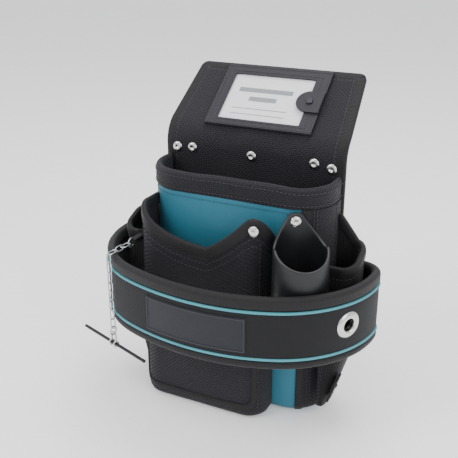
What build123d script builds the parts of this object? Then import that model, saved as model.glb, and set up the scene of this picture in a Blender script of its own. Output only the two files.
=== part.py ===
"""Electrician's tool pouch: a sewn nylon pouch with a leaning name-card flap, a padded front band,
a moulded tool tube, side pockets and a tape bar on a chain. Millimetres, +Z up, front towards -Y.
The origin is in the middle of the pouch's width, at the back panel's front face, on the ground."""
from build123d import *

import os
from math import cos, radians, sin, sqrt

os.makedirs("parts", exist_ok=True)

# ---- driving sizes ---------------------------------------------------------------------------
GAP = 0.3                 # clearance between pieces that are sewn or that move past each other
CLOTH = 2.0               # thickness of the heavy nylon skins

BACK_HALF = 92.0          # back panel: half its width
BACK_TOP = 252.0          # its top edge, just under the flap's fold
BOARD = 2.0               # stiffener sheets
TAPE = 2.5                # how far the edge binding stands outside the panel

BODY_HALF = 90.0          # main pocket: half its width
BODY_DEPTH = 48.0         # from the back panel to its front
BODY_CORNER = 34.0        # plan radius of its front corners
BODY_TOP = 214.0          # where the front cloth ends and the hem starts
BODY_WALL = 3.0
GUSSET_DEPTH = 20.0       # the black side walls reach this far forward from the back panel
BODY_TOE = 10.0           # rounding where the front turns under
HEM_HEIGHT = 21.0
HEM_THICK = 8.0
HEM_PROUD = 3.0

FRONT_LEFT = -84.0        # front pocket
FRONT_RIGHT = 46.0
FRONT_DEPTH = 28.0
FRONT_CORNER = 20.0
FRONT_WALL = 2.5
LIP_LOW_X = -9.0          # lowest point of its curved mouth
LIP_LOW_Z = 173.0
LIP_LEFT_Z = 204.0
EAR_X = 39.0
EAR_Z = 214.0
LIP_WIDTH = 7.0
LIP_PROUD = 1.2

TUBE_PLACE = -51.4        # tool tube: its place round the band's right corner, degrees from +X
TUBE_R = 25.0
TUBE_WALL = 2.6
TUBE_TOP = 190.0
TUBE_LENGTH = 97.0
TUBE_FACING = -55.0       # direction from the tube's back to its front, degrees from +X
TONGUE_RISE = 23.5
RIM_DROP = 13.0           # the rim is cut this much lower at the front

SIDE_BACK = -5.6          # side pockets
SIDE_FRONT = -44.0
SIDE_WALL = 2.4
SIDE_CORNER = 14.0
SIDE_TOP = 179.0
GORE_TOP = 204.0          # the back of each side pocket rises to this height beside the body
SIDE_SLOPE = 16.0         # how much lower the mouth is at its front
SIDE_KNEE = 86.0          # below this the pocket narrows towards its foot
SIDE_FOOT = 14.0
SIDE_FOOT_WIDTH = 8.0

BAND_HALF = 137.0         # padded band: half its width outside
BAND_DEPTH = 124.0        # its reach in front of the back panel
BAND_FRONT_R = 204.0
BAND_CORNER_R = 98.0
BAND_REAR_R = 20.0
BAND_THICK = 6.0
BINDING_PROUD = 1.0       # how far the band's bindings stand off its faces
SIDE_OUT = BAND_HALF - BAND_THICK - BINDING_PROUD - 8
BAND_LOW = 87.0
BAND_TOP = 157.0
BAND_BINDING_TOP = 13.0   # height of the rolled binding on the top edge
BAND_BINDING_LOW = 9.5
PIPING = 2.4
BADGE_HALF = 50.0
BADGE_LOW = 103.0
BADGE_HEIGHT = 34.0
BADGE_THICK = 1.4

EYELET_ANGLE = -29.0      # place round the band's right corner, degrees from +X
EYELET_Z = 123.0
EYELET_HOLE_R = 6.0
EYELET_BARREL = 1.2
EYELET_FLANGE_R = 13.0
EYELET_FLANGE = 2.4

RIVET_R = 5.0             # tubular rivets: head and shank
RIVET_HEAD = 1.8
SHANK_R = 2.0
RIVET_HOLE_GAP = 0.05

FLAP_LEAN = 52.0          # lean of the flap from upright at rest
FLAP_LENGTH = 88.0
FLAP_START = 6.0          # clear of the fold
FLAP_LOW_HALF = 92.0
FLAP_TOP_HALF = 86.5
FOLD_Y = 3.0
FOLD_Z = 260.0

CARD_WIDTH = 94.0         # name card and its pocket
CARD_HEIGHT = 62.0
CARD_THICK = 0.8
CARD_SHOWN_HALF = 42.5
CARD_SHOWN_LOW = 16.0
CARD_SHOWN_HEIGHT = 57.0
FRAME_LEFT = -54.0
FRAME_RIGHT = 57.0
FRAME_LOW = 8.0
FRAME_TOP = 85.0
FRAME_THICK = 1.4
WINDOW_THICK = 0.5
TAB_R = 12.5
TAB_CENTRE_X = 44.0
TAB_THICK = 1.5
STUD_R = 3.6

WIRE = 1.3                # chain wire
LINK_LENGTH = 12.8
LINK_WIDTH = 6.6
CHAIN_X = -101.0          # the hanging run
CHAIN_Y = -101.5
CHAIN_TOP = 163.0         # upper end of the link that passes over the band
UPPER_LINKS = 3
LOWER_LINKS = 4
RING_R = 4.2
BAR_ANGLE = -20.0         # direction of the tape bar in plan, degrees from +X
BAR_LENGTH = 98.0
BAR_R = 1.6
CLEVIS_HEIGHT = 15.0
CLEVIS_HALF = 3.4


def finish(piece, name):
    piece.label = name
    export_step(piece, f"parts/{name}.step")


# ---- back panel: three sewn layers, taped round the edge -------------------------------------
BACK_RIVETS = [(-81.0, 243.0), (-64.0, 244.0), (0.0, 243.0), (64.0, 244.0), (81.0, 241.0)]
SKIN_BACK = CLOTH + BOARD + CLOTH
CORNER = 12.0             # rounding of the panel's lower corners


def back_layer(front_y, thick, half, low, top, hole_r):
    """One flat layer of the back panel, with its lower corners rounded and the rivet holes."""
    with BuildPart() as layer:
        with BuildSketch(Plane.XZ.offset(-front_y)) as face:
            with Locations((0, (low + top) / 2)):
                Rectangle(2 * half, top - low)
            fillet(face.vertices().group_by(Axis.Y)[0], CORNER)
            with Locations(*BACK_RIVETS):
                Circle(hole_r, mode=Mode.SUBTRACT)
        extrude(amount=-thick)
    return layer.part


HOLE_R = SHANK_R + RIVET_HOLE_GAP
finish(back_layer(0, CLOTH, BACK_HALF, TAPE, BACK_TOP, HOLE_R), "back_panel")
finish(back_layer(CLOTH, BOARD, BACK_HALF - 4, 4, BACK_TOP - 3, HOLE_R), "back_board")
finish(back_layer(CLOTH + BOARD, CLOTH, BACK_HALF, TAPE, BACK_TOP, HOLE_R), "back_cover")


with BuildPart() as back_binding:
    with BuildSketch(Plane.XZ) as tape_face:
        with Locations((0, BACK_TOP / 2)):
            Rectangle(2 * (BACK_HALF + TAPE), BACK_TOP)
        fillet(tape_face.vertices().group_by(Axis.Y)[0], CORNER + TAPE)
    extrude(amount=-(SKIN_BACK + 1))
    with BuildSketch(Plane.XZ) as tape_hole:
        with Locations((0, (BACK_TOP + TAPE) / 2)):
            Rectangle(2 * BACK_HALF, BACK_TOP - TAPE)
        fillet(tape_hole.vertices().group_by(Axis.Y)[0], CORNER)
    extrude(amount=-(SKIN_BACK + 1), mode=Mode.SUBTRACT)
finish(back_binding.part, "back_binding")

# ---- belt tunnel on the back: a webbing bridge, open at both sides ---------------------------
TUNNEL_HALF = 60.0
TUNNEL_TOP = 237.0
TUNNEL_LOW = 158.0
TUNNEL_SEAM = 7.0
TUNNEL_DEPTH = 9.0
WEBBING = 2.5
with BuildPart() as belt_tunnel:
    with BuildSketch(Plane.YZ.offset(-TUNNEL_HALF)):
        with BuildLine():
            Polyline(
                (SKIN_BACK, TUNNEL_TOP),
                (SKIN_BACK + WEBBING, TUNNEL_TOP),
                (SKIN_BACK + WEBBING, TUNNEL_TOP - TUNNEL_SEAM),
                (SKIN_BACK + TUNNEL_DEPTH + WEBBING, TUNNEL_TOP - TUNNEL_SEAM - TUNNEL_DEPTH),
                (SKIN_BACK + TUNNEL_DEPTH + WEBBING, TUNNEL_LOW + TUNNEL_SEAM + TUNNEL_DEPTH),
                (SKIN_BACK + WEBBING, TUNNEL_LOW + TUNNEL_SEAM),
                (SKIN_BACK + WEBBING, TUNNEL_LOW),
                (SKIN_BACK, TUNNEL_LOW),
                (SKIN_BACK, TUNNEL_LOW + TUNNEL_SEAM),
                (SKIN_BACK + TUNNEL_DEPTH, TUNNEL_LOW + TUNNEL_SEAM + TUNNEL_DEPTH + 1),
                (SKIN_BACK + TUNNEL_DEPTH, TUNNEL_TOP - TUNNEL_SEAM - TUNNEL_DEPTH - 1),
                (SKIN_BACK, TUNNEL_TOP - TUNNEL_SEAM),
                close=True,
            )
        make_face()
    extrude(amount=2 * TUNNEL_HALF)
finish(belt_tunnel.part, "belt_tunnel")

# ---- rivets through the back panel -----------------------------------------------------------
with BuildPart() as back_rivets:
    with BuildSketch(Plane.XZ):
        with Locations(*BACK_RIVETS):
            Circle(RIVET_R)
    extrude(amount=RIVET_HEAD)
    with BuildSketch(Plane.XZ):
        with Locations(*BACK_RIVETS):
            Circle(SHANK_R)
    extrude(amount=-SKIN_BACK)
    with BuildSketch(Plane.XZ.offset(-SKIN_BACK)):
        with Locations(*BACK_RIVETS):
            Circle(RIVET_R)
    extrude(amount=-1.2)
    chamfer(back_rivets.faces().sort_by(Axis.Y)[:5].edges(), 0.8)
finish(back_rivets.part, "back_rivets")


# ---- main pocket -----------------------------------------------------------------------------
def plan_block(left, right, back, front, corner, low, high):
    """A solid block whose front corners, seen from above, are rounded."""
    with BuildPart() as block:
        with BuildSketch(Plane.XY.offset(low)) as plan:
            with Locations(((left + right) / 2, (back + front) / 2)):
                Rectangle(right - left, back - front)
            fillet(plan.vertices().group_by(Axis.Y)[0], corner)
        extrude(amount=high - low)
    return block.part


def toe_edges(block):
    """The bottom edges that turn under, without the straight one against the back panel."""
    return block.edges().group_by(Axis.Z)[0].sort_by(Axis.Y)[:-1]


with BuildPart() as body_inside:
    add(plan_block(-BODY_HALF + BODY_WALL, BODY_HALF - BODY_WALL, 0, -BODY_DEPTH + BODY_WALL,
                   BODY_CORNER - BODY_WALL, BODY_WALL, BODY_TOP))
    fillet(toe_edges(body_inside), BODY_TOE - BODY_WALL)

with BuildPart() as body_shell:
    add(plan_block(-BODY_HALF, BODY_HALF, 0, -BODY_DEPTH, BODY_CORNER, 0, BODY_TOP))
    fillet(toe_edges(body_shell), BODY_TOE)
    add(body_inside.part, mode=Mode.SUBTRACT)

GUSSET_LOW = 26.0
with BuildPart() as main_pocket_front:
    add(body_shell.part)
    with BuildSketch(Plane.XY.offset(GUSSET_LOW)):
        for side in (-1, 1):
            with Locations((side * (BODY_HALF - BODY_WALL / 2), -GUSSET_DEPTH / 2)):
                Rectangle(BODY_WALL, GUSSET_DEPTH)
    extrude(amount=BODY_TOP - GUSSET_LOW, mode=Mode.SUBTRACT)
finish(main_pocket_front.part, "main_pocket_front")

for side, name in ((-1, "left"), (1, "right")):
    with BuildPart() as gusset:
        with BuildSketch(Plane.XY.offset(GUSSET_LOW)):
            with Locations((side * (BODY_HALF - BODY_WALL / 2), -GUSSET_DEPTH / 2)):
                Rectangle(BODY_WALL, GUSSET_DEPTH)
        extrude(amount=BODY_TOP - GUSSET_LOW)
    finish(gusset.part, f"side_gusset_{name}")

LINING = 0.8
LINING_GAP = 0.2
LINING_TOP = BODY_TOP - 6
LINER_HALF = BODY_HALF - BODY_WALL - LINING_GAP
LINER_DEPTH = BODY_DEPTH - BODY_WALL - LINING_GAP
LINER_CORNER = BODY_CORNER - BODY_WALL - LINING_GAP
BOARD_TOP = BODY_WALL + BOARD + 0.2
with BuildPart() as main_pocket_lining:
    add(plan_block(-LINER_HALF, LINER_HALF, -LINING_GAP, -LINER_DEPTH, LINER_CORNER,
                   BOARD_TOP + BODY_TOE, LINING_TOP))
    add(plan_block(-LINER_HALF + LINING, LINER_HALF - LINING, -LINING_GAP, -LINER_DEPTH + LINING,
                   LINER_CORNER - LINING, BOARD_TOP + BODY_TOE, LINING_TOP), mode=Mode.SUBTRACT)
finish(main_pocket_lining.part, "main_pocket_lining")

INSET = BODY_WALL + BODY_TOE
finish(plan_block(-BODY_HALF + INSET, BODY_HALF - INSET, -2, -BODY_DEPTH + INSET,
                  BODY_CORNER - INSET, BODY_WALL + 0.1, BODY_WALL + 0.1 + BOARD), "base_board")

HEM_OUT = BODY_HALF + HEM_PROUD
with BuildPart() as mouth_hem:
    add(plan_block(-HEM_OUT, HEM_OUT, -GAP, -BODY_DEPTH - HEM_PROUD, BODY_CORNER + HEM_PROUD,
                   BODY_TOP, BODY_TOP + HEM_HEIGHT))
    fillet(mouth_hem.edges().group_by(Axis.Z)[-1].sort_by(Axis.Y)[:-1], 3.5)
    add(plan_block(-HEM_OUT + HEM_THICK, HEM_OUT - HEM_THICK, 0,
                   -BODY_DEPTH - HEM_PROUD + HEM_THICK, BODY_CORNER + HEM_PROUD - HEM_THICK,
                   BODY_TOP, BODY_TOP + HEM_HEIGHT), mode=Mode.SUBTRACT)
finish(mouth_hem.part, "mouth_hem")

# ---- front pocket: a gusseted shell sewn on the main pocket's front, with a curved mouth -----
FRONT_BACK = -BODY_DEPTH - 0.2
FRONT_FACE = FRONT_BACK - FRONT_DEPTH


def lip_cutter(drop):
    """Everything above the front pocket's mouth curve, lowered by a drop."""
    with BuildPart() as cutter:
        with BuildSketch(Plane.XZ.offset(BODY_DEPTH - 5)):
            with BuildLine():
                low = (LIP_LOW_X, LIP_LOW_Z - drop)
                left = (FRONT_LEFT - 6, LIP_LEFT_Z + 8 - drop)
                ear = (EAR_X - 4, EAR_Z - 4 - drop)
                Spline(left, (FRONT_LEFT + 22, LIP_LOW_Z + 9 - drop), low,
                       tangents=((0.35, -1), (1, 0.12)))
                Line(low, ear)
                Polyline(ear, (EAR_X + 3, EAR_Z - drop), (FRONT_RIGHT + 8, EAR_Z - 12 - drop),
                         (FRONT_RIGHT + 8, EAR_Z + 30), (FRONT_LEFT - 6, EAR_Z + 30), left)
            make_face()
        extrude(amount=FRONT_DEPTH + 20)
    return cutter.part


def front_shell(grow, wall, high):
    """The front pocket's wall without its mouth: front and two sides."""
    with BuildPart() as shell:
        add(plan_block(FRONT_LEFT - grow, FRONT_RIGHT + grow, FRONT_BACK, FRONT_FACE - grow,
                       FRONT_CORNER + grow, 0, high))
        add(plan_block(FRONT_LEFT - grow + wall, FRONT_RIGHT + grow - wall, FRONT_BACK,
                       FRONT_FACE - grow + wall, FRONT_CORNER + grow - wall, 0, high),
            mode=Mode.SUBTRACT)
    return shell.part


with BuildPart() as front_pocket:
    add(front_shell(0, FRONT_WALL, EAR_Z))
    add(plan_block(FRONT_LEFT, FRONT_RIGHT, FRONT_BACK, FRONT_FACE, FRONT_CORNER, 0, FRONT_WALL))
    add(lip_cutter(0), mode=Mode.SUBTRACT)
    with BuildSketch(Plane.XZ.offset(BODY_DEPTH + 5)):
        with Locations((EAR_X - 1, EAR_Z - 14)):
            Circle(HOLE_R)
    extrude(amount=FRONT_DEPTH, mode=Mode.SUBTRACT)
finish(front_pocket.part, "front_pocket")

with BuildPart() as front_pocket_lip:
    add(front_shell(LIP_PROUD + 0.1, LIP_PROUD, EAR_Z))
    add(lip_cutter(0), mode=Mode.SUBTRACT)
    add(lip_cutter(LIP_WIDTH), mode=Mode.INTERSECT)
finish(front_pocket_lip.part, "front_pocket_lip")


# ---- padded band round the front -------------------------------------------------------------
FRONT_CENTRE = (0.0, BAND_FRONT_R - BAND_DEPTH)
CORNER_X = BAND_HALF - BAND_CORNER_R
CORNER_Y = FRONT_CENTRE[1] - sqrt((BAND_FRONT_R - BAND_CORNER_R) ** 2 - CORNER_X**2)
REAR_X = BAND_HALF - BAND_REAR_R
TUBE_REACH = BAND_CORNER_R - BAND_THICK - BINDING_PROUD - TUBE_R - 0.2
TUBE_X = CORNER_X + TUBE_REACH * cos(radians(TUBE_PLACE))
TUBE_Y = CORNER_Y + TUBE_REACH * sin(radians(TUBE_PLACE))
BAND_END = BACK_HALF + TAPE + GAP


def band_side(offset):
    """One side of the band's outline in plan, at an offset outside the band's outer face."""
    turn = Vector(CORNER_X, CORNER_Y - FRONT_CENTRE[1]).get_angle(Vector(0, -1))
    arcs = [
        CenterArc(FRONT_CENTRE, BAND_FRONT_R + offset, -90, turn),
        CenterArc((CORNER_X, CORNER_Y), BAND_CORNER_R + offset, turn - 90, 90 - turn),
        CenterArc((REAR_X, CORNER_Y), BAND_REAR_R + offset, 0, 90),
    ]
    arcs.append(Line((REAR_X, CORNER_Y + BAND_REAR_R + offset),
                     (BAND_END, CORNER_Y + BAND_REAR_R + offset)))
    return arcs


def band_ring(outside, inside, low, high):
    """A strip that follows the band from one back edge of the pouch to the other."""
    with BuildPart() as ring:
        with BuildSketch(Plane.XY.offset(low)):
            with BuildLine() as outline:
                band_side(outside)
                band_side(inside)
                Line((BAND_END, CORNER_Y + BAND_REAR_R + outside),
                     (BAND_END, CORNER_Y + BAND_REAR_R + inside))
                mirror(about=Plane.YZ)
            make_face()
        extrude(amount=high - low)
    return ring.part


FIELD_LOW = BAND_LOW + BAND_BINDING_LOW
FIELD_TOP = BAND_TOP - BAND_BINDING_TOP
EYELET_X = CORNER_X + BAND_CORNER_R * cos(radians(EYELET_ANGLE))
EYELET_Y = CORNER_Y + BAND_CORNER_R * sin(radians(EYELET_ANGLE))
eyelet_plane = Plane(
    origin=(EYELET_X, EYELET_Y, EYELET_Z),
    x_dir=(-sin(radians(EYELET_ANGLE)), cos(radians(EYELET_ANGLE)), 0),
    z_dir=(cos(radians(EYELET_ANGLE)), sin(radians(EYELET_ANGLE)), 0),
)
BARREL_R = EYELET_HOLE_R + EYELET_BARREL
EYELET_SAG = 1.0          # the curved band falls this far away under the flat flange

with BuildPart() as front_band:
    add(band_ring(0, -BAND_THICK, FIELD_LOW, FIELD_TOP))
    with BuildSketch(eyelet_plane.offset(-BAND_THICK - 4)):
        Circle(BARREL_R + 0.1)
    extrude(amount=BAND_THICK + 8, mode=Mode.SUBTRACT)
finish(front_band.part, "front_band")
finish(band_ring(BINDING_PROUD, -BAND_THICK - BINDING_PROUD, FIELD_TOP, BAND_TOP), "band_top_binding")
finish(band_ring(BINDING_PROUD, -BAND_THICK - BINDING_PROUD, BAND_LOW, FIELD_LOW), "band_bottom_binding")
finish(band_ring(PIPING / 2 + 0.1, 0.1, FIELD_TOP - PIPING, FIELD_TOP), "band_top_piping")
finish(band_ring(PIPING / 2 + 0.1, 0.1, FIELD_LOW, FIELD_LOW + PIPING), "band_bottom_piping")

with BuildPart() as badge_patch:
    add(band_ring(BADGE_THICK + 0.1, 0.1, BADGE_LOW, BADGE_LOW + BADGE_HEIGHT))
    with BuildSketch(Plane.XY.offset(BADGE_LOW)):
        with Locations((0, -BAND_DEPTH)):
            Rectangle(2 * BADGE_HALF, 40)
    extrude(amount=BADGE_HEIGHT, mode=Mode.INTERSECT)
finish(badge_patch.part, "badge_patch")

with BuildPart() as eyelet_front:
    with BuildSketch(eyelet_plane.offset(0.1)):
        Circle(EYELET_FLANGE_R)
    extrude(amount=EYELET_FLANGE)
    outer_face = eyelet_front.faces().sort_by_distance(eyelet_plane.offset(EYELET_FLANGE + 5).origin)
    fillet(outer_face[0].edges(), 1.5)
    with BuildSketch(eyelet_plane.offset(-BAND_THICK - 1.2)):
        Circle(BARREL_R)
    extrude(amount=BAND_THICK + 1.3)
    with BuildSketch(eyelet_plane.offset(-BAND_THICK - 1.2)):
        Circle(EYELET_HOLE_R)
    extrude(amount=BAND_THICK + 8, mode=Mode.SUBTRACT)
finish(eyelet_front.part, "eyelet_front")

WASHER_BACK = BAND_THICK + EYELET_SAG + 1.0
with BuildPart() as eyelet_back:
    with BuildSketch(eyelet_plane.offset(-WASHER_BACK - 1)):
        Circle(EYELET_FLANGE_R - 1)
        Circle(BARREL_R + 0.05, mode=Mode.SUBTRACT)
    extrude(amount=1.0)
finish(eyelet_back.part, "eyelet_back")

# ---- tool tube with its riveted tongue -------------------------------------------------------
FACE_X = cos(radians(TUBE_FACING))
FACE_Y = sin(radians(TUBE_FACING))
tongue_plane = Plane(
    origin=(TUBE_X, TUBE_Y, TUBE_TOP),
    x_dir=(-FACE_Y, FACE_X, 0),
    z_dir=(FACE_X, FACE_Y, 0),
)
rim_plane = Plane(
    origin=(TUBE_X, TUBE_Y, TUBE_TOP),
    x_dir=(FACE_X, FACE_Y, 0),
    z_dir=(FACE_Y, -FACE_X, 0),
)
with BuildPart() as tool_tube:
    with BuildSketch(Plane.XY.offset(TUBE_TOP - TUBE_LENGTH)):
        with Locations((TUBE_X, TUBE_Y)):
            Circle(TUBE_R)
            Circle(TUBE_R - TUBE_WALL, mode=Mode.SUBTRACT)
    extrude(amount=TUBE_LENGTH + TONGUE_RISE)
    with BuildSketch(tongue_plane.offset(-TUBE_R - 5)) as around_tongue:
        with Locations((0, TONGUE_RISE / 2 + 10)):
            Rectangle(4 * TUBE_R, TONGUE_RISE + 20)
        with BuildLine():
            Polyline((-TUBE_R - 1, 0), (-7, TONGUE_RISE - 2), (-5, TONGUE_RISE), (5, TONGUE_RISE),
                     (7, TONGUE_RISE - 2), (TUBE_R + 1, 0), close=True)
        make_face(mode=Mode.SUBTRACT)
    extrude(amount=TUBE_R + 5, mode=Mode.SUBTRACT)
    with BuildSketch(tongue_plane.offset(0)):
        with Locations((0, TONGUE_RISE / 2 + 10)):
            Rectangle(4 * TUBE_R, TONGUE_RISE + 20)
    extrude(amount=TUBE_R + 5, mode=Mode.SUBTRACT)
    with BuildSketch(rim_plane):
        Polygon((0, 0), (TUBE_R + 2, -RIM_DROP), (TUBE_R + 2, 5), (0, 5), align=None)
    extrude(amount=2 * TUBE_R, both=True, mode=Mode.SUBTRACT)
    with BuildSketch(tongue_plane.offset(-TUBE_R - 5)):
        with Locations((0, TONGUE_RISE - 8)):
            Circle(HOLE_R)
    extrude(amount=TUBE_R, mode=Mode.SUBTRACT)
finish(tool_tube.part, "tool_tube")


HEAD_SAG = 0.4            # the tube's wall curves up this far under a flat head


def rivet(place, reach, head_r):
    """A tubular rivet: a bevelled head in front of a plane and a shank behind it."""
    with BuildPart() as piece:
        with BuildSketch(place.offset(0.1)):
            Circle(head_r)
        extrude(amount=RIVET_HEAD)
        chamfer(piece.edges(), 0.5)
        with BuildSketch(place.offset(-reach)):
            Circle(SHANK_R)
        extrude(amount=reach + 0.2)
    return piece.part


finish(rivet(Plane(origin=tongue_plane.offset(-TUBE_R + TUBE_WALL + HEAD_SAG).origin
                   + Vector(0, 0, TONGUE_RISE - 8), z_dir=(FACE_X, FACE_Y, 0)),
             TUBE_WALL, 4.2), "tube_rivet")
finish(rivet(Plane(origin=(EAR_X - 1, FRONT_FACE - LIP_PROUD - 0.2, EAR_Z - 14), z_dir=(0, -1, 0)),
             LIP_PROUD + FRONT_WALL + 1, RIVET_R), "ear_rivet")

# ---- side pockets: webbing cups that narrow towards the foot, with a rolled mouth ------------
SIDE_IN = BODY_HALF + 1.5


def mouth_cut(drop):
    """The wedge above a side pocket's mouth, which slopes down towards its front."""
    with BuildPart() as wedge:
        with BuildSketch(Plane.YZ.offset(-SIDE_OUT - 5)):
            with BuildLine():
                Polyline(
                    (SIDE_BACK + 5, SIDE_TOP - drop + SIDE_SLOPE * 0.1),
                    (SIDE_FRONT - 5, SIDE_TOP - drop - SIDE_SLOPE),
                    (SIDE_FRONT - 5, SIDE_TOP + 30),
                    (SIDE_BACK + 5, SIDE_TOP + 30),
                    close=True,
                )
            make_face()
        extrude(amount=2 * SIDE_OUT + 10)
    return wedge.part


def side_plan(side, grow, low, high):
    """A block with the side pocket's plan: square against the body, round outside."""
    with BuildPart() as block:
        with BuildSketch(Plane.XY.offset(low)) as plan:
            with Locations((side * (SIDE_IN + SIDE_OUT + grow) / 2, (SIDE_BACK + SIDE_FRONT) / 2)):
                Rectangle(SIDE_OUT - SIDE_IN + grow, SIDE_BACK - SIDE_FRONT + 2 * grow)
            outer = plan.vertices().group_by(Axis.X)[-1 if side > 0 else 0]
            fillet(outer, SIDE_CORNER + grow)
        extrude(amount=high - low)
    return block.part


def side_block(side, wall, low, high):
    """The solid shape of a side pocket, inset by a wall."""
    with BuildPart() as block:
        with BuildSketch(Plane.XZ.offset(-SIDE_BACK + wall)):
            with BuildLine():
                Polyline(
                    (side * (SIDE_IN + wall), low),
                    (side * (SIDE_IN + max(SIDE_FOOT_WIDTH - wall, wall + 1)), low),
                    (side * (SIDE_OUT - wall), SIDE_KNEE),
                    (side * (SIDE_OUT - wall), high),
                    (side * (SIDE_IN + wall), high),
                    close=True,
                )
            make_face()
        extrude(amount=SIDE_BACK - SIDE_FRONT - 2 * wall)
        add(side_plan(side, -wall, low - 1, high + 1), mode=Mode.INTERSECT)
    return block.part


for side, name in ((-1, "left"), (1, "right")):
    with BuildPart() as side_pocket:
        add(side_block(side, 0, SIDE_FOOT, SIDE_TOP + 10))
        add(side_block(side, SIDE_WALL, SIDE_FOOT + 6, SIDE_TOP + 10), mode=Mode.SUBTRACT)
        add(mouth_cut(0), mode=Mode.SUBTRACT)
        with BuildSketch(Plane.XZ.offset(-SIDE_BACK)):
            Polygon((side * SIDE_IN, SIDE_TOP - 9), (side * SIDE_IN, GORE_TOP),
                    (side * (SIDE_OUT - SIDE_CORNER), SIDE_TOP),
                    (side * (SIDE_OUT - SIDE_CORNER), SIDE_TOP - 9), align=None)
        extrude(amount=SIDE_WALL)
    finish(side_pocket.part, f"side_pocket_{name}")

    with BuildPart() as side_binding:
        add(side_plan(side, LIP_PROUD + 0.1, SIDE_KNEE + 20, SIDE_TOP + 10))
        add(side_plan(side, 0.1, SIDE_KNEE + 20, SIDE_TOP + 10), mode=Mode.SUBTRACT)
        with BuildSketch(Plane.XY.offset(SIDE_KNEE + 20)):
            with Locations((side * (SIDE_IN + SIDE_OUT) / 2, SIDE_BACK + 5)):
                Rectangle(2 * SIDE_OUT, 10)
        extrude(amount=SIDE_TOP, mode=Mode.SUBTRACT)
        add(mouth_cut(0), mode=Mode.SUBTRACT)
        add(mouth_cut(LIP_WIDTH), mode=Mode.INTERSECT)
    finish(side_binding.part, f"side_pocket_{name}_binding")

# ---- webbing tab riveted to the right side pocket's foot -------------------------------------
SLANT_X = SIDE_OUT - SIDE_IN - SIDE_FOOT_WIDTH
SLANT_Z = SIDE_KNEE - SIDE_FOOT
TAB_UP = 0.36             # how far up the slanting foot the tab sits
TAB_Y = -44.0
slant_plane = Plane(
    origin=(SIDE_IN + SIDE_FOOT_WIDTH + TAB_UP * SLANT_X, TAB_Y, SIDE_FOOT + TAB_UP * SLANT_Z),
    x_dir=(0, 1, 0),
    z_dir=(SLANT_Z, 0, -SLANT_X),
)
with BuildPart() as side_tab:
    with BuildSketch(slant_plane.offset(0.1)):
        RectangleRounded(16, 30, 4)
        Circle(HOLE_R, mode=Mode.SUBTRACT)
    extrude(amount=CLOTH)
finish(side_tab.part, "side_tab")
finish(rivet(slant_plane.offset(CLOTH + 0.1), CLOTH, RIVET_R), "side_tab_rivet")

# ---- chain: links that alternate a quarter turn, from a sewn ring over the band --------------
WIRE_R = WIRE / 2
LINK_RUN = (LINK_LENGTH - LINK_WIDTH) / 2
LINK_R = (LINK_WIDTH - WIRE) / 2
LINK_REACH = LINK_RUN + LINK_R
PLAY = 0.3
PITCH = 2 * LINK_REACH - WIRE - PLAY
CHAIN_ANGLE = 84.0        # direction from the hanging run back to the sewn ring, degrees from +X
ALONG = Vector(cos(radians(CHAIN_ANGLE)), sin(radians(CHAIN_ANGLE)), 0)
ACROSS = Vector(ALONG.Y, -ALONG.X, 0)
UP = Vector(0, 0, 1)
CHAIN_AXIS = Vector(CHAIN_X, CHAIN_Y, 0)
LEVEL = CHAIN_TOP - WIRE - PLAY - WIRE_R


def link(centre, length_dir, width_dir):
    """One welded link of round wire."""
    place = Plane(origin=centre, x_dir=length_dir, z_dir=length_dir.cross(width_dir))
    with BuildPart() as piece:
        with BuildLine(place) as path:
            Line((-LINK_RUN, LINK_R), (LINK_RUN, LINK_R))
            CenterArc((LINK_RUN, 0), LINK_R, 90, -180)
            Line((LINK_RUN, -LINK_R), (-LINK_RUN, -LINK_R))
            CenterArc((-LINK_RUN, 0), LINK_R, -90, -180)
        start = place.from_local_coords(Vector(-LINK_RUN, LINK_R, 0))
        with BuildSketch(Plane(origin=start, z_dir=length_dir)):
            Circle(WIRE_R)
        sweep(path=path.wires()[0])
    return piece.part


def ring(centre, radius, wire_r, axis):
    """A closed ring of round wire round an axis."""
    with BuildPart() as piece:
        with BuildSketch(Plane(origin=centre, x_dir=UP, z_dir=axis.cross(UP))):
            with Locations((radius, 0)):
                Circle(wire_r)
        revolve(axis=Axis(centre, axis))
    return piece.part


def group(pieces, name):
    with BuildPart() as together:
        for piece in pieces:
            add(piece)
    finish(together.part, name)


flat_run = []
for i in range(3):
    reach = LINK_REACH + i * PITCH
    centre = CHAIN_AXIS + ALONG * reach + UP * LEVEL
    flat_run.append(link(centre, ALONG, ACROSS if i % 2 == 0 else UP))
over_band = link(CHAIN_AXIS + UP * (CHAIN_TOP - WIRE_R - LINK_REACH), UP, ALONG)
group(flat_run + [over_band], "chain_fixed_links")

hanging = []
for i in range(UPPER_LINKS + LOWER_LINKS):
    height = CHAIN_TOP - WIRE_R - LINK_REACH - (i + 1) * PITCH
    hanging.append(link(CHAIN_AXIS + UP * height, UP, ACROSS if i % 2 == 0 else ALONG))
group(hanging[:UPPER_LINKS], "chain_upper_links")
group(hanging[UPPER_LINKS:], "chain_lower_links")

ANCHOR_R = 4.2
anchor_reach = LINK_REACH + 2 * PITCH + LINK_REACH - WIRE - PLAY + ANCHOR_R
anchor_centre = CHAIN_AXIS + ALONG * anchor_reach + UP * LEVEL
finish(ring(anchor_centre, ANCHOR_R, WIRE_R, ACROSS), "chain_anchor_ring")
ANCHOR_BACK = SIDE_FRONT - 1.6
with BuildPart() as chain_anchor_tab:
    with BuildSketch(Plane.XZ.offset(-ANCHOR_BACK)):
        with Locations((anchor_centre.X, LEVEL - 4)):
            RectangleRounded(10, 20, 2)
    extrude(amount=CLOTH - 0.4)
    with BuildSketch(Plane.XZ.offset(-ANCHOR_BACK)):
        with Locations((anchor_centre.X, LEVEL)):
            Rectangle(6, 5)
    extrude(amount=ANCHOR_BACK - anchor_centre.Y - ANCHOR_R + 2.2)
    add(ring(anchor_centre, ANCHOR_R, WIRE_R + 0.15, ACROSS), mode=Mode.SUBTRACT)
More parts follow.
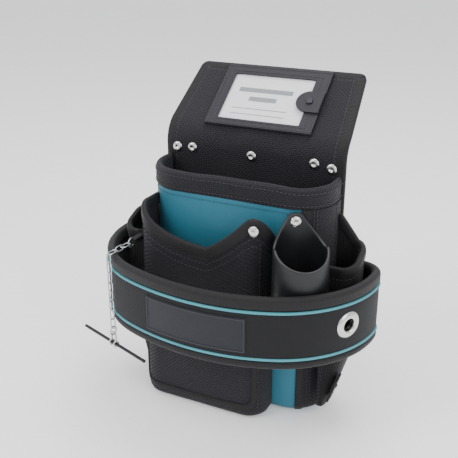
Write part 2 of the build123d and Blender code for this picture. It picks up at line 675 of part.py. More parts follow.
finish(chain_anchor_tab.part, "chain_anchor_tab")

# ---- jump ring, clevis and tape bar ----------------------------------------------------------
LAST_LOW = CHAIN_TOP - WIRE_R - 2 * LINK_REACH - (UPPER_LINKS + LOWER_LINKS) * PITCH
RING_WIRE_R = 0.8
ring_top = LAST_LOW + WIRE_R + PLAY + RING_WIRE_R
ring_centre = CHAIN_AXIS + UP * (ring_top - RING_R)
finish(ring(ring_centre, RING_R, RING_WIRE_R, ACROSS), "jump_ring")

CLEVIS_WIRE_R = 1.0
BAR_DIR = Vector(cos(radians(BAR_ANGLE)), sin(radians(BAR_ANGLE)), 0)
clevis_top = ring_top - 2 * RING_R + RING_WIRE_R + PLAY + CLEVIS_WIRE_R
clevis_bend = clevis_top - CLEVIS_HALF
bar_z = clevis_top - CLEVIS_HEIGHT + 3.2
BAR_GAP = 0.05
clevis_plane = Plane(origin=CHAIN_AXIS + UP * clevis_bend, x_dir=BAR_DIR, z_dir=BAR_DIR.cross(UP))
with BuildPart() as bar_clevis:
    with BuildSketch(Plane(origin=CHAIN_AXIS + UP * clevis_bend, x_dir=BAR_DIR, z_dir=(0, 0, 1))):
        with Locations((-CLEVIS_HALF, 0), (CLEVIS_HALF, 0)):
            Circle(CLEVIS_WIRE_R)
    extrude(amount=bar_z - clevis_bend)
    with BuildSketch(Plane(origin=CHAIN_AXIS + UP * clevis_bend, x_dir=BAR_DIR, z_dir=(0, 0, 1))):
        with Locations((CLEVIS_HALF, 0)):
            Circle(CLEVIS_WIRE_R)
    revolve(axis=Axis(CHAIN_AXIS + UP * clevis_bend, clevis_plane.z_dir), revolution_arc=180)
    for side in (-1, 1):
        eye = CHAIN_AXIS + BAR_DIR * (side * CLEVIS_HALF - 1) + UP * bar_z
        with BuildSketch(Plane(origin=eye, z_dir=BAR_DIR)):
            Circle(3.2)
        extrude(amount=2)
    with BuildSketch(Plane(origin=CHAIN_AXIS + UP * bar_z - BAR_DIR * 8, z_dir=BAR_DIR)):
        Circle(BAR_R + BAR_GAP)
    extrude(amount=16, mode=Mode.SUBTRACT)
finish(bar_clevis.part, "bar_clevis")

BAR_START = CHAIN_AXIS + UP * bar_z - BAR_DIR * (BAR_LENGTH / 2)
with BuildPart() as tape_bar:
    with BuildSketch(Plane(origin=BAR_START, z_dir=BAR_DIR)):
        Circle(BAR_R)
    extrude(amount=BAR_LENGTH)
    chamfer(tape_bar.edges().filter_by(GeomType.CIRCLE), 0.5)
finish(tape_bar.part, "tape_bar")

# ---- flap: three layers taped round the edge, leaning back on a cloth fold -------------------
LEAN = radians(FLAP_LEAN)
flap_plane = Plane(origin=(0, FOLD_Y, FOLD_Z), x_dir=(1, 0, 0), z_dir=(0, -cos(LEAN), sin(LEAN)))
FLAP_HALF_THICK = SKIN_BACK / 2


def flap_layer(low_n, high_n, inset, start, end):
    """A flat layer of the flap between two heights over its middle plane."""
    taper = (FLAP_LOW_HALF - FLAP_TOP_HALF) / (FLAP_LENGTH - FLAP_START)
    low_half = FLAP_LOW_HALF - inset - taper * (start - FLAP_START)
    top_half = FLAP_LOW_HALF - inset - taper * (end - FLAP_START)
    with BuildPart() as layer:
        with BuildSketch(flap_plane.offset(low_n)) as face:
            with BuildLine():
                Polyline((-low_half, start), (low_half, start), (top_half, end), (-top_half, end),
                         close=True)
            make_face()
            fillet(face.vertices().sort_by_distance(flap_plane.from_local_coords((0, 500, 0)))[:2],
                   max(6 - inset, 2))
        extrude(amount=high_n - low_n)
    return layer.part


SKIN_END = FLAP_LENGTH - TAPE
finish(flap_layer(FLAP_HALF_THICK - CLOTH, FLAP_HALF_THICK, TAPE, FLAP_START, SKIN_END), "flap_cover")
finish(flap_layer(-BOARD / 2, BOARD / 2, TAPE + 3, FLAP_START + 6, SKIN_END - 3), "flap_board")
finish(flap_layer(-FLAP_HALF_THICK, -FLAP_HALF_THICK + CLOTH, TAPE, FLAP_START, SKIN_END),
       "flap_lining")
with BuildPart() as flap_binding:
    add(flap_layer(-FLAP_HALF_THICK, FLAP_HALF_THICK, 0, FLAP_START, FLAP_LENGTH))
    add(flap_layer(-FLAP_HALF_THICK, FLAP_HALF_THICK, TAPE, FLAP_START, SKIN_END),
        mode=Mode.SUBTRACT)
finish(flap_binding.part, "flap_binding")


# ---- name-card pocket on the flap ------------------------------------------------------------
def flap_plate(left, right, low, top, low_n, thick):
    """A rectangular plate over the flap's front skin."""
    with BuildPart() as plate:
        with BuildSketch(flap_plane.offset(FLAP_HALF_THICK + low_n)):
            with Locations(((left + right) / 2, (low + top) / 2)):
                Rectangle(right - left, top - low)
        extrude(amount=thick)
    return plate.part


WELT = 4.2
CARD_N = 0.3
WINDOW_N = CARD_N + CARD_THICK + 0.3
FRAME_N = WINDOW_N + WINDOW_THICK + 0.1
SHOWN_TOP = CARD_SHOWN_LOW + CARD_SHOWN_HEIGHT
CARD_MIDDLE = CARD_SHOWN_LOW + CARD_SHOWN_HEIGHT / 2
with BuildPart() as id_frame:
    add(flap_plate(FRAME_LEFT, FRAME_RIGHT, FRAME_LOW, FRAME_TOP, 0, FRAME_N + FRAME_THICK))
    add(flap_plate(FRAME_LEFT + WELT, FRAME_RIGHT + 5, FRAME_LOW + WELT, FRAME_TOP - WELT,
                   0, FRAME_N), mode=Mode.SUBTRACT)
    add(flap_plate(-CARD_SHOWN_HALF, CARD_SHOWN_HALF, CARD_SHOWN_LOW, SHOWN_TOP, 0, 10),
        mode=Mode.SUBTRACT)
finish(id_frame.part, "id_frame")
finish(flap_plate(FRAME_LEFT + WELT + 0.1, FRAME_RIGHT - 1, FRAME_LOW + WELT + 0.1,
                  FRAME_TOP - WELT - 0.1, WINDOW_N, WINDOW_THICK), "id_window")
finish(flap_plate(-CARD_WIDTH / 2 - 1.5, CARD_WIDTH / 2 - 1.5, CARD_MIDDLE - CARD_HEIGHT / 2,
                  CARD_MIDDLE + CARD_HEIGHT / 2, CARD_N, CARD_THICK), "id_card")

TAB_N = FRAME_N + FRAME_THICK + 0.6
with BuildPart() as id_tab:
    with BuildSketch(flap_plane.offset(FLAP_HALF_THICK + TAB_N)):
        with Locations((TAB_CENTRE_X, CARD_MIDDLE)):
            Circle(TAB_R)
        with Locations(((TAB_CENTRE_X + FRAME_RIGHT) / 2, CARD_MIDDLE)):
            Rectangle(FRAME_RIGHT - TAB_CENTRE_X, 2 * TAB_R)
    extrude(amount=TAB_THICK)
finish(id_tab.part, "id_tab")


def stud(low_n, radius, height, bevel):
    """A disc of the press stud."""
    with BuildPart() as disc:
        with BuildSketch(flap_plane.offset(FLAP_HALF_THICK + low_n)):
            with Locations((TAB_CENTRE_X + 1, CARD_MIDDLE)):
                Circle(radius)
        extrude(amount=height)
        if bevel:
            chamfer(disc.faces().sort_by(Axis.Z)[-1].edges(), bevel)
    return disc.part


finish(stud(FRAME_N + FRAME_THICK, STUD_R - 0.8, 0.4, 0), "id_stud_socket")
finish(stud(TAB_N + TAB_THICK, STUD_R, 1.6, 0.6), "id_stud_cap")
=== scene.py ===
"""An electrician's belt pouch: a padded nylon back with a leaning flap, a deep main pocket, a curved front
pocket, a rubber tool tube, two side pockets, a padded band and a tape chain.

Sizes are millimetres until mesh() and grown() turn them into metres. +Z is up and the front is -Y."""

from math import atan2, cos, degrees, hypot, pi, radians, sin, sqrt, tan

import bpy
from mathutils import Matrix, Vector


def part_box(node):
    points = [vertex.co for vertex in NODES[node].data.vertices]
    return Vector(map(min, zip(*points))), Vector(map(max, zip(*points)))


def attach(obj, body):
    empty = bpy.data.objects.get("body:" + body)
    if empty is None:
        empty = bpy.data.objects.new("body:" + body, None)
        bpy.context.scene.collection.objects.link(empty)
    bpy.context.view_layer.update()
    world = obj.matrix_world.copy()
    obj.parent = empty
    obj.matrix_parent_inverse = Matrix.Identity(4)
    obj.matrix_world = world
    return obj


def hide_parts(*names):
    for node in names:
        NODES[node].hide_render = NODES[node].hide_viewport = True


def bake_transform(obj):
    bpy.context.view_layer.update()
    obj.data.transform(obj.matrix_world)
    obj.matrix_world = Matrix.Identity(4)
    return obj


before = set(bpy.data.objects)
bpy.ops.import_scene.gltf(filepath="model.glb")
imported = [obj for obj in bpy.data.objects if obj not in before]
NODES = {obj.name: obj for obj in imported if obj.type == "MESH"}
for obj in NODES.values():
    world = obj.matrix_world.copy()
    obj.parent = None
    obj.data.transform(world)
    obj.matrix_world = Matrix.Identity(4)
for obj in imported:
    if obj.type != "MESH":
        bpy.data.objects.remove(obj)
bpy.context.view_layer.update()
scene = bpy.context.scene


# ---- finishes --------------------------------------------------------------------------------
# Heavy black nylon with a coarse weave, ribbed tape, a fine teal nylon, coated lining, grained vinyl, and
# bright plated metal. Weaves are coarser than the real 0.5 mm yarn, so that they still read from a step away.


def linear(colour):
    """The linear red, green, blue and alpha of an sRGB hex colour."""
    parts = [int(colour[i:i + 2], 16) / 255 for i in (1, 3, 5)]
    return (*((c / 12.92 if c <= 0.04045 else ((c + 0.055) / 1.055) ** 2.4) for c in parts), 1.0)


def add_node(tree, kind, settings=(), **inputs):
    """Adds a node. settings are its properties; inputs are values or other nodes' outputs.

    An input goes by its socket's name, or by its number as i0, i1 and so on."""
    made = tree.nodes.new(kind)
    for name, value in dict(settings).items():
        setattr(made, name, value)
    for name, value in inputs.items():
        number = name[1:].isdigit() and name[0] == "i"
        socket = made.inputs[int(name[1:])] if number else made.inputs[name.replace("_", " ")]
        if isinstance(value, bpy.types.NodeSocket):
            tree.links.new(value, socket)
        else:
            socket.default_value = value
    return made


def maths(tree, operation, a, b=0.0, c=0.0):
    """The output of one Math node."""
    return add_node(tree, "ShaderNodeMath", {"operation": operation}, i0=a, i1=b, i2=c).outputs[0]


def finish_tree(name, **base):
    """A new material with a Principled shader set from base: the material, its tree and the shader."""
    made = bpy.data.materials.new(name)
    made.use_nodes = True
    tree = made.node_tree
    tree.nodes.clear()
    shader = add_node(tree, "ShaderNodeBsdfPrincipled", **base)
    output = add_node(tree, "ShaderNodeOutputMaterial")
    tree.links.new(shader.outputs[0], output.inputs[0])
    return made, tree, shader


def weave_height(tree, where, pitch, kind):
    """Height of a cloth's yarns, 0 to 1, at the place that the vector where gives in metres.

    A plain weave goes over and under, a rib has cords side by side, and a twill runs diagonally."""
    split = add_node(tree, "ShaderNodeSeparateXYZ", Vector=where)
    u = maths(tree, "MULTIPLY", split.outputs[0], pi / pitch)
    v = maths(tree, "MULTIPLY", split.outputs[1], pi / pitch)
    if kind == "rib":
        fine = maths(tree, "ABSOLUTE", maths(tree, "SINE", maths(tree, "MULTIPLY", v, 2.0)))
        rib = maths(tree, "ABSOLUTE", maths(tree, "SINE", u))
        return maths(tree, "MULTIPLY_ADD", fine, 0.25, maths(tree, "MULTIPLY", rib, 0.75))
    if kind == "twill":
        v = maths(tree, "ADD", u, v)
    across, along = maths(tree, "SINE", u), maths(tree, "SINE", v)
    over = maths(tree, "GREATER_THAN", maths(tree, "MULTIPLY", across, along), 0.0)
    high, low = maths(tree, "ABSOLUTE", across), maths(tree, "ABSOLUTE", along)
    kept = maths(tree, "MULTIPLY", high, over)
    other = maths(tree, "MULTIPLY", low, maths(tree, "SUBTRACT", 1.0, over))
    return maths(tree, "ADD", kept, other)


def cloth(name, colour, pitch, kind="plain", rough=0.8, depth=0.35, yarn_shade=0.35, sheen=0.25,
          on_object=False):
    """A woven finish with painted shade between its yarns. Its yarns follow the piece's own UV, in metres, or
    its place when on_object is set.
    """
    made, tree, shader = finish_tree(name, Roughness=rough, Sheen_Weight=sheen, Sheen_Roughness=0.5,
                                     Specular_IOR_Level=0.3)
    place = add_node(tree, "ShaderNodeTexCoord").outputs["Object" if on_object else "UV"]
    if on_object:
        split = add_node(tree, "ShaderNodeSeparateXYZ", Vector=place)
        flat = maths(tree, "SUBTRACT", split.outputs[0], split.outputs[1])
        place = add_node(tree, "ShaderNodeCombineXYZ", X=flat, Y=split.outputs[2]).outputs[0]
    warp = add_node(tree, "ShaderNodeTexNoise", Vector=place, Scale=35.0, Detail=2.0)
    drift = add_node(tree, "ShaderNodeVectorMath", {"operation": "MULTIPLY_ADD"}, i0=warp.outputs["Color"],
                     i1=(0.0016,) * 3, i2=place)
    height = weave_height(tree, drift.outputs[0], pitch, kind)
    lint = add_node(tree, "ShaderNodeTexNoise", Vector=place, Scale=1400.0, Detail=2.0).outputs["Fac"]
    worn = add_node(tree, "ShaderNodeTexNoise", Vector=place, Scale=22.0, Detail=4.0).outputs["Fac"]
    # painted shade: the colour is darker where the yarns dip low, strongest on the coarse black nylon and
    # webbing
    shade = maths(tree, "MULTIPLY_ADD", height, yarn_shade, 1.0 - yarn_shade * 0.75)
    shade = maths(tree, "MULTIPLY", shade, maths(tree, "MULTIPLY_ADD", lint, 0.5, 0.75))
    shade = maths(tree, "MULTIPLY", shade, maths(tree, "MULTIPLY_ADD", worn, 0.3, 0.85))
    tint = add_node(tree, "ShaderNodeVectorMath", {"operation": "SCALE"}, i0=linear(colour)[:3], Scale=shade)
    tree.links.new(tint.outputs[0], shader.inputs["Base Color"])
    relief = maths(tree, "ADD", height, maths(tree, "MULTIPLY", lint, 0.4))
    bump = add_node(tree, "ShaderNodeBump", Height=relief, Strength=depth, Distance=pitch * 0.3)
    tree.links.new(bump.outputs[0], shader.inputs["Normal"])
    return made


def smooth(name, colour, rough, grain=0.0, grain_scale=900.0, mottling=0.12, **base):
    """A moulded, plated or coated finish: slight mottling in colour and sheen, and a pebbled grain."""
    made, tree, shader = finish_tree(name, **base)
    place = add_node(tree, "ShaderNodeTexCoord").outputs["Object"]
    cloudy = add_node(tree, "ShaderNodeTexNoise", Vector=place, Scale=60.0, Detail=5.0).outputs["Fac"]
    shade = maths(tree, "MULTIPLY_ADD", cloudy, 2 * mottling, 1.0 - mottling)
    tint = add_node(tree, "ShaderNodeVectorMath", {"operation": "SCALE"}, i0=linear(colour)[:3], Scale=shade)
    tree.links.new(tint.outputs[0], shader.inputs["Base Color"])
    polish = maths(tree, "MULTIPLY_ADD", cloudy, 0.16, rough - 0.08)
    tree.links.new(polish, shader.inputs["Roughness"])
    if grain:
        pebble = add_node(tree, "ShaderNodeTexVoronoi", Vector=place, Scale=grain_scale).outputs["Distance"]
        bump = add_node(tree, "ShaderNodeBump", Height=pebble, Strength=grain, Distance=0.0004)
        tree.links.new(bump.outputs[0], shader.inputs["Normal"])
    return made


NYLON = cloth("black nylon", "#16151c", 0.0019, rough=0.72, yarn_shade=0.75, depth=0.9, sheen=0.06)
BAND_CLOTH = cloth("band nylon", "#0b0b10", 0.0013, rough=0.72, yarn_shade=0.45, depth=0.4, sheen=0.05)
BADGE_CLOTH = cloth("badge cloth", "#1b1d24", 0.001, "twill", rough=0.62, yarn_shade=0.35, depth=0.3,
                    sheen=0.08)
TAPE = cloth("binding tape", "#0e0d10", 0.0016, "rib", rough=0.6, depth=0.6, yarn_shade=0.5, sheen=0.05)
WEBBING = cloth("webbing", "#131215", 0.0022, "rib", rough=0.7, depth=0.9, yarn_shade=0.7, sheen=0.06)
WEBBING_SOLID = cloth("webbing on hard pieces", "#131215", 0.0022, "rib", rough=0.7, depth=0.9, yarn_shade=0.7,
                      sheen=0.06, on_object=True)
TEAL = cloth("teal nylon", "#29697d", 0.0012, rough=0.6, yarn_shade=0.28, depth=0.25, sheen=0.04)
PIPING = cloth("teal piping", "#458f99", 0.0012, "twill", rough=0.5, yarn_shade=0.25, depth=0.25, sheen=0.04)
LINING = cloth("coated lining", "#17181b", 0.0011, rough=0.6, yarn_shade=0.2, depth=0.2, sheen=0.04,
               on_object=True)
BOARD = smooth("stiffener", "#3a3733", 0.7)
VINYL = smooth("black vinyl", "#232228", 0.52, grain=0.6, grain_scale=1300.0, Specular_IOR_Level=0.35)
RUBBER = smooth("moulded rubber", "#131416", 0.4, grain=0.12, grain_scale=1100.0, Specular_IOR_Level=0.45)
CARD = smooth("name card", "#e2e1e5", 0.62, mottling=0.02)
INK = smooth("card rules", "#5e6066", 0.7)
CLEAR = smooth("clear vinyl", "#f4f6f8", 0.14, mottling=0.01, Alpha=0.1, IOR=1.45)
NICKEL = smooth("nickel plate", "#d3d1cf", 0.24, mottling=0.06, Metallic=1.0)
ZINC = smooth("zinc chain", "#c6c8cb", 0.3, mottling=0.12, Metallic=1.0)
GUNMETAL = smooth("dark stud", "#3a3a3f", 0.32, Metallic=0.9)
COATED = smooth("coated steel", "#1d1d20", 0.34, mottling=0.2, Metallic=0.3)
THREAD = smooth("black thread", "#333238", 0.6)
TEAL_THREAD = smooth("teal thread", "#245d6d", 0.7)


def dress(node, finish):
    """Gives a CAD piece one finish in all of its slots."""
    NODES[node].data.materials.clear()
    NODES[node].data.materials.append(finish)


# ---- making cloth pieces ---------------------------------------------------------------------
# Every cloth piece is a slab: a strip of thick cloth with rounded long edges and a face that can be plump. It
# is laid on a surface, place(u, v, n), where n is the height above that surface.


def label_of(name):
    """An object name with no spaces that no CAD piece has."""
    label = name.replace(" ", "_")
    return label + "_look" if label in NODES else label


def mesh(name, points, faces, uvs, finish):
    """A mesh object in metres from points in millimetres, with one UV per point."""
    made = bpy.data.meshes.new(name)
    made.from_pydata([tuple(c * 0.001 for c in p) for p in points], [], faces)
    layer = made.uv_layers.new(name="UVMap")
    for loop in made.loops:
        layer.data[loop.index].uv = uvs[loop.vertex_index]
    for polygon in made.polygons:
        polygon.use_smooth = True
    made.materials.append(finish)
    obj = bpy.data.objects.new(label_of(name), made)
    scene.collection.objects.link(obj)
    return obj


def tidy_normals(obj):
    """Turns every face outward."""
    bpy.context.view_layer.objects.active = obj
    obj.select_set(True)
    bpy.ops.object.mode_set(mode="EDIT")
    bpy.ops.mesh.select_all(action="SELECT")
    bpy.ops.mesh.normals_make_consistent(inside=False)
    bpy.ops.object.mode_set(mode="OBJECT")
    obj.select_set(False)
    return obj


EDGE_POINTS = 5                              # round each long edge of a slab


def slab(name, finish, place, u, v, thick, crown=0.0, steps=(60, 40), edge=None, sides=4.0, grain=1.0):
    """A strip of thick cloth over place(u, v, n).

    u is (low, high), or a function of v that gives them, and v is (low, high). crown is extra height in the
    middle, edge is the rounding of the ends in v, and grain is the length on the cloth of one step of v."""
    across, along = steps
    spans = u if callable(u) else (lambda _: u)
    low, high = v
    edge = min(thick / 2 if edge is None else edge, (high - low) / 2)
    turn = [k / 4 * pi / 2 for k in range(5)]
    rows = [(low + edge * (1 - cos(a)), max(sin(a), 0.12)) for a in turn]
    rows += [(low + edge + (high - low - 2 * edge) * k / along, 1.0) for k in range(1, along)]
    rows += [(high - edge * (1 - cos(a)), max(sin(a), 0.12)) for a in reversed(turn)]
    points, uvs = [], []
    for at, fat in rows:
        left, right = spans(at)
        half = thick / 2 * fat
        plump = 1 - abs(2 * (at - low) / (high - low) - 1) ** sides
        ring = []
        for k in range(across + 1):
            share = k / across
            ring.append((left + half + (right - left - 2 * half) * share, share, 1))
        bow = [(right - half + half * cos(a), sin(a)) for a in (pi / 3, pi / 6, 0, -pi / 6, -pi / 3)]
        ring += [(x, 1.0, s) for x, s in bow]
        for k in range(across, -1, -1):
            share = k / across
            ring.append((left + half + (right - left - 2 * half) * share, share, -1))
        ring += [(left + right - x, 0.0, s) for x, s in reversed(bow)]
        for x, share, side in ring:
            swell = crown * plump * (1 - abs(2 * share - 1) ** sides) if side > 0 else 0.0
            points.append(place(x, at, half * side + swell))
            uvs.append((x * 0.001, at * grain * 0.001))
    size = 2 * (across + 1 + EDGE_POINTS)
    faces = []
    for r in range(len(rows) - 1):
        for k in range(size):
            a, b = r * size + k, r * size + (k + 1) % size
            faces.append((a, b, b + size, a + size))
    for start in (0, (len(rows) - 1) * size):
        mirror = {k: 2 * across + 1 - k + EDGE_POINTS for k in range(across + 1)}
        for k in range(across):
            faces.append(tuple(start + j for j in (k, k + 1, mirror[k + 1], mirror[k])))
        faces.append(tuple(start + j for j in range(across, across + EDGE_POINTS + 2)))
        faces.append(tuple(start + j for j in (*range(size - EDGE_POINTS - 1, size), 0)))
    return tidy_normals(mesh(name, points, faces, uvs, finish))


def rope(name, finish, track, facing, wide, thick, roundness=2.6, around=20):
    """A tape or cord swept along a track: wide across, and thick along the facing directions.

    A roundness of 2 is an ellipse, and more is squarer."""
    points, uvs, run = [], [], 0.0
    for i, at in enumerate(track):
        before, after = track[max(i - 1, 0)], track[min(i + 1, len(track) - 1)]
        ahead = (Vector(after) - Vector(before)).normalized()
        up = Vector(facing[i])
        up = (up - ahead * up.dot(ahead)).normalized()
        out = ahead.cross(up)
        run += (Vector(at) - Vector(before)).length if i else 0.0
        for k in range(around):
            a = 2 * pi * k / around
            x = abs(cos(a)) ** (2 / roundness) * (1 if cos(a) > 0 else -1)
            y = abs(sin(a)) ** (2 / roundness) * (1 if sin(a) > 0 else -1)
            points.append(Vector(at) + out * (x * wide / 2) + up * (y * thick / 2))
            uvs.append((run * 0.001, x * wide / 2000))
    faces = []
    for r in range(len(track) - 1):
        for k in range(around):
            a, b = r * around + k, r * around + (k + 1) % around
            faces.append((a, b, b + around, a + around))
    faces.append(tuple(range(around)))
    faces.append(tuple((len(track) - 1) * around + k for k in range(around)))
    return tidy_normals(mesh(name, points, faces, uvs, finish))


def edging(name, finish, place, track, wide, thick, over=1.5, lift=0.0):
    """A tape folded over an edge. track is the edge as (u, v, in_u, in_v), and the last two point inward."""
    line, facing = [], []
    for u, v, in_u, in_v in track:
        reach = wide / 2 - over
        at = Vector(place(u + in_u * reach, v + in_v * reach, lift))
        line.append(at)
        facing.append(Vector(place(u + in_u * reach, v + in_v * reach, lift + 1)) - at)
    return rope(name, finish, line, facing, wide, thick, 3.4)


def joined(name, pieces):
    """One object from several."""
    bpy.ops.object.select_all(action="DESELECT")
    for piece in pieces:
        piece.select_set(True)
    bpy.context.view_layer.objects.active = pieces[0]
    bpy.ops.object.join()
    pieces[0].name = pieces[0].data.name = label_of(name)
    pieces[0].select_set(False)
    return pieces[0]


def steps(low, high, count):
    """count + 1 even values from low to high."""
    return [low + (high - low) * k / count for k in range(count + 1)]


def between(a, b, count):
    """count + 1 even points on the straight line from a to b."""
    return list(zip(steps(a[0], b[0], count), steps(a[1], b[1], count)))


def arc(x, y, radius, start, end, count=16):
    """Points of a plan arc, angles in degrees from +X."""
    return [(x + radius * cos(radians(a)), y + radius * sin(radians(a))) for a in steps(start, end, count)]


class Track:
    """A plan line measured by its length. at(u) is a point of it, and out(u, n) is n to its right."""

    def __init__(self, points):
        self.points = [points[0]]
        self.runs = [0.0]
        for p in points[1:]:
            gap = hypot(p[0] - self.points[-1][0], p[1] - self.points[-1][1])
            if gap > 1e-6:
                self.points.append(p)
                self.runs.append(self.runs[-1] + gap)
        self.length = self.runs[-1]

    def at(self, u):
        low, high = 0, len(self.runs) - 2
        while low < high:
            middle = (low + high + 1) // 2
            low, high = (middle, high) if self.runs[middle] <= u else (low, middle - 1)
        a, b = self.points[low], self.points[low + 1]
        share = (u - self.runs[low]) / (self.runs[low + 1] - self.runs[low])
        return a[0] + (b[0] - a[0]) * share, a[1] + (b[1] - a[1]) * share

    def out(self, u, n):
        (ax, ay), (bx, by) = self.at(max(u - 1.5, 0)), self.at(min(u + 1.5, self.length))
        size = hypot(bx - ax, by - ay)
        x, y = self.at(u)
        return x + (by - ay) / size * n, y - (bx - ax) / size * n


def round_front(left, right, face, radius, start, end, proud=0.0):
    """The plan of a pocket's wall: forward from start, round two corners and back to end."""
    return Track([(left - proud, start), (left - proud, face + radius)]
                 + arc(left + radius, face + radius, radius + proud, 180, 270)
                 + arc(right - radius, face + radius, radius + proud, 270, 360)
                 + [(right + proud, end)])


# ---- sewing and riveting ---------------------------------------------------------------------
# Lockstitch in thick bonded thread, about 4 mm to a stitch, and domed tubular rivets. One node tree sets
# stitches along lines, and another sets rivets on points.


def node_tree(name, sockets):
    """A new geometry node tree with these inputs besides its geometry."""
    tree = bpy.data.node_groups.new(name, "GeometryNodeTree")
    tree.interface.new_socket("Geometry", in_out="INPUT", socket_type="NodeSocketGeometry")
    for label, kind in sockets:
        tree.interface.new_socket(label, in_out="INPUT", socket_type=kind)
    tree.interface.new_socket("Geometry", in_out="OUTPUT", socket_type="NodeSocketGeometry")
    return tree


def sewing_tree():
    """Short bars of thread set end to end along every line of a mesh."""
    tree = node_tree("stitches", [("Pitch", "NodeSocketFloat"), ("Length", "NodeSocketFloat"),
                                  ("Radius", "NodeSocketFloat"), ("Thread", "NodeSocketMaterial")])
    given = add_node(tree, "NodeGroupInput")
    line = add_node(tree, "GeometryNodeMeshToCurve", Mesh=given.outputs["Geometry"])
    even = add_node(tree, "GeometryNodeResampleCurve", {"mode": "LENGTH"}, Curve=line.outputs[0],
                    Length=given.outputs["Pitch"])
    ahead = add_node(tree, "GeometryNodeInputTangent")
    turned = add_node(tree, "FunctionNodeAlignRotationToVector", {"axis": "X"}, Vector=ahead.outputs[0])
    bead = add_node(tree, "GeometryNodeMeshUVSphere", Segments=8, Rings=6, Radius=1.0)
    half = add_node(tree, "ShaderNodeMath", {"operation": "MULTIPLY"}, i0=given.outputs["Length"], i1=0.5)
    flat = add_node(tree, "ShaderNodeMath", {"operation": "MULTIPLY"}, i0=given.outputs["Radius"], i1=0.8)
    size = add_node(tree, "ShaderNodeCombineXYZ", X=half.outputs[0], Y=given.outputs["Radius"],
                    Z=flat.outputs[0])
    laid = add_node(tree, "GeometryNodeInstanceOnPoints", Points=even.outputs[0],
                    Instance=bead.outputs["Mesh"], Rotation=turned.outputs[0], Scale=size.outputs[0])
    real = add_node(tree, "GeometryNodeRealizeInstances", Geometry=laid.outputs[0])
    shaded = add_node(tree, "GeometryNodeSetShadeSmooth", Geometry=real.outputs[0])
    dyed = add_node(tree, "GeometryNodeSetMaterial", Geometry=shaded.outputs[0],
                    Material=given.outputs["Thread"])
    result = add_node(tree, "NodeGroupOutput")
    tree.links.new(dyed.outputs[0], result.inputs[0])
    return tree


def rivet_tree():
    """A copy of the rivet head on every point of a mesh, facing along the point's own 'facing'."""
    tree = node_tree("rivets", [("Head", "NodeSocketObject"), ("Metal", "NodeSocketMaterial")])
    given = add_node(tree, "NodeGroupInput")
    head = add_node(tree, "GeometryNodeObjectInfo", i0=given.outputs["Head"])
    facing = add_node(tree, "GeometryNodeInputNamedAttribute", {"data_type": "FLOAT_VECTOR"}, Name="facing")
    turned = add_node(tree, "FunctionNodeAlignRotationToVector", {"axis": "Z"}, Vector=facing.outputs[0])
    points = add_node(tree, "GeometryNodeMeshToPoints", Mesh=given.outputs["Geometry"])
    laid = add_node(tree, "GeometryNodeInstanceOnPoints", Points=points.outputs[0],
                    Instance=head.outputs["Geometry"], Rotation=turned.outputs[0])
    real = add_node(tree, "GeometryNodeRealizeInstances", Geometry=laid.outputs[0])
    plated = add_node(tree, "GeometryNodeSetMaterial", Geometry=real.outputs[0],
                      Material=given.outputs["Metal"])
    result = add_node(tree, "NodeGroupOutput")
    tree.links.new(plated.outputs[0], result.inputs[0])
    return tree


SEWING, RIVETING = sewing_tree(), rivet_tree()


def grown(name, points, edges, tree, values, attributes=()):
    """The mesh that a node tree makes from some points and edges, in millimetres."""
    seed = bpy.data.meshes.new(name)
    seed.from_pydata([tuple(c * 0.001 for c in p) for p in points], edges, [])
    for label, vectors in attributes:
        values_of = seed.attributes.new(label, "FLOAT_VECTOR", "POINT").data
        values_of.foreach_set("vector", [c for p in vectors for c in p])
    obj = bpy.data.objects.new(label_of(name), seed)
    scene.collection.objects.link(obj)
    modifier = obj.modifiers.new("grow", "NODES")
    modifier.node_group = tree
    for item in tree.interface.items_tree:
        if item.in_out == "INPUT" and item.name in values:
            modifier[item.identifier] = values[item.name]
    bpy.context.view_layer.update()
    made = bpy.data.meshes.new_from_object(obj.evaluated_get(bpy.context.evaluated_depsgraph_get()))
    obj.modifiers.remove(modifier)
    obj.data = made
    made.name = name
    return obj


def stitching(name, lines, thread=THREAD, pitch=4.0, length=3.2, radius=0.42):
    """Rows of stitches along lines of points."""
    points, edges = [], []
    for line in lines:
        start = len(points)
        points += [tuple(p) for p in line]
        edges += [(start + k, start + k + 1) for k in range(len(line) - 1)]
    values = {"Pitch": pitch / 1000, "Length": length / 1000, "Radius": radius / 1000, "Thread": thread}
    return grown(name, points, edges, SEWING, values)


def lathe(name, profile, finish, count=36, ring=False):
    """A turned piece about +Z from (radius, height) points. A ring's profile closes on itself."""
    profile = profile + profile[:1] if ring else profile
    turns = [2 * pi * k / count for k in range(count)]
    points = [(r * cos(a), r * sin(a), z) for r, z in profile for a in turns]
    faces = []
    for r in range(len(profile) - 1):
        for k in range(count):
            a, b = r * count + k, r * count + (k + 1) % count
            faces.append((a, b, b + count, a + count))
    if not ring:
        faces += [tuple(range(count)), tuple((len(profile) - 1) * count + k for k in range(count))]
    return tidy_normals(mesh(name, points, faces, [(0, 0)] * len(points), finish))


RIVET_PROFILE = [(2.0, -2.2), (4.8, -0.4), (5.1, 0.0), (5.15, 0.4), (4.95, 0.9), (4.5, 1.3),
                 (3.7, 1.65), (2.9, 1.8), (2.2, 1.75), (1.8, 1.5), (1.6, 1.0), (0.05, 0.9)]
RIVET_HEAD = lathe("rivet head", RIVET_PROFILE, NICKEL)
RIVET_HEAD.hide_render = True


def riveted(name, spots):
    """Rivet heads at (point, facing) spots."""
    return grown(name, [p for p, _ in spots], [], RIVETING, {"Head": RIVET_HEAD, "Metal": NICKEL},
                 [("facing", [tuple(Vector(f).normalized()) for _, f in spots])])


# ---- back panel and flap ---------------------------------------------------------------------
# One padded sheet: black nylon over a stiffener, straight behind the pockets and rolled backward above them.
# A ribbed tape is sewn over its whole edge.

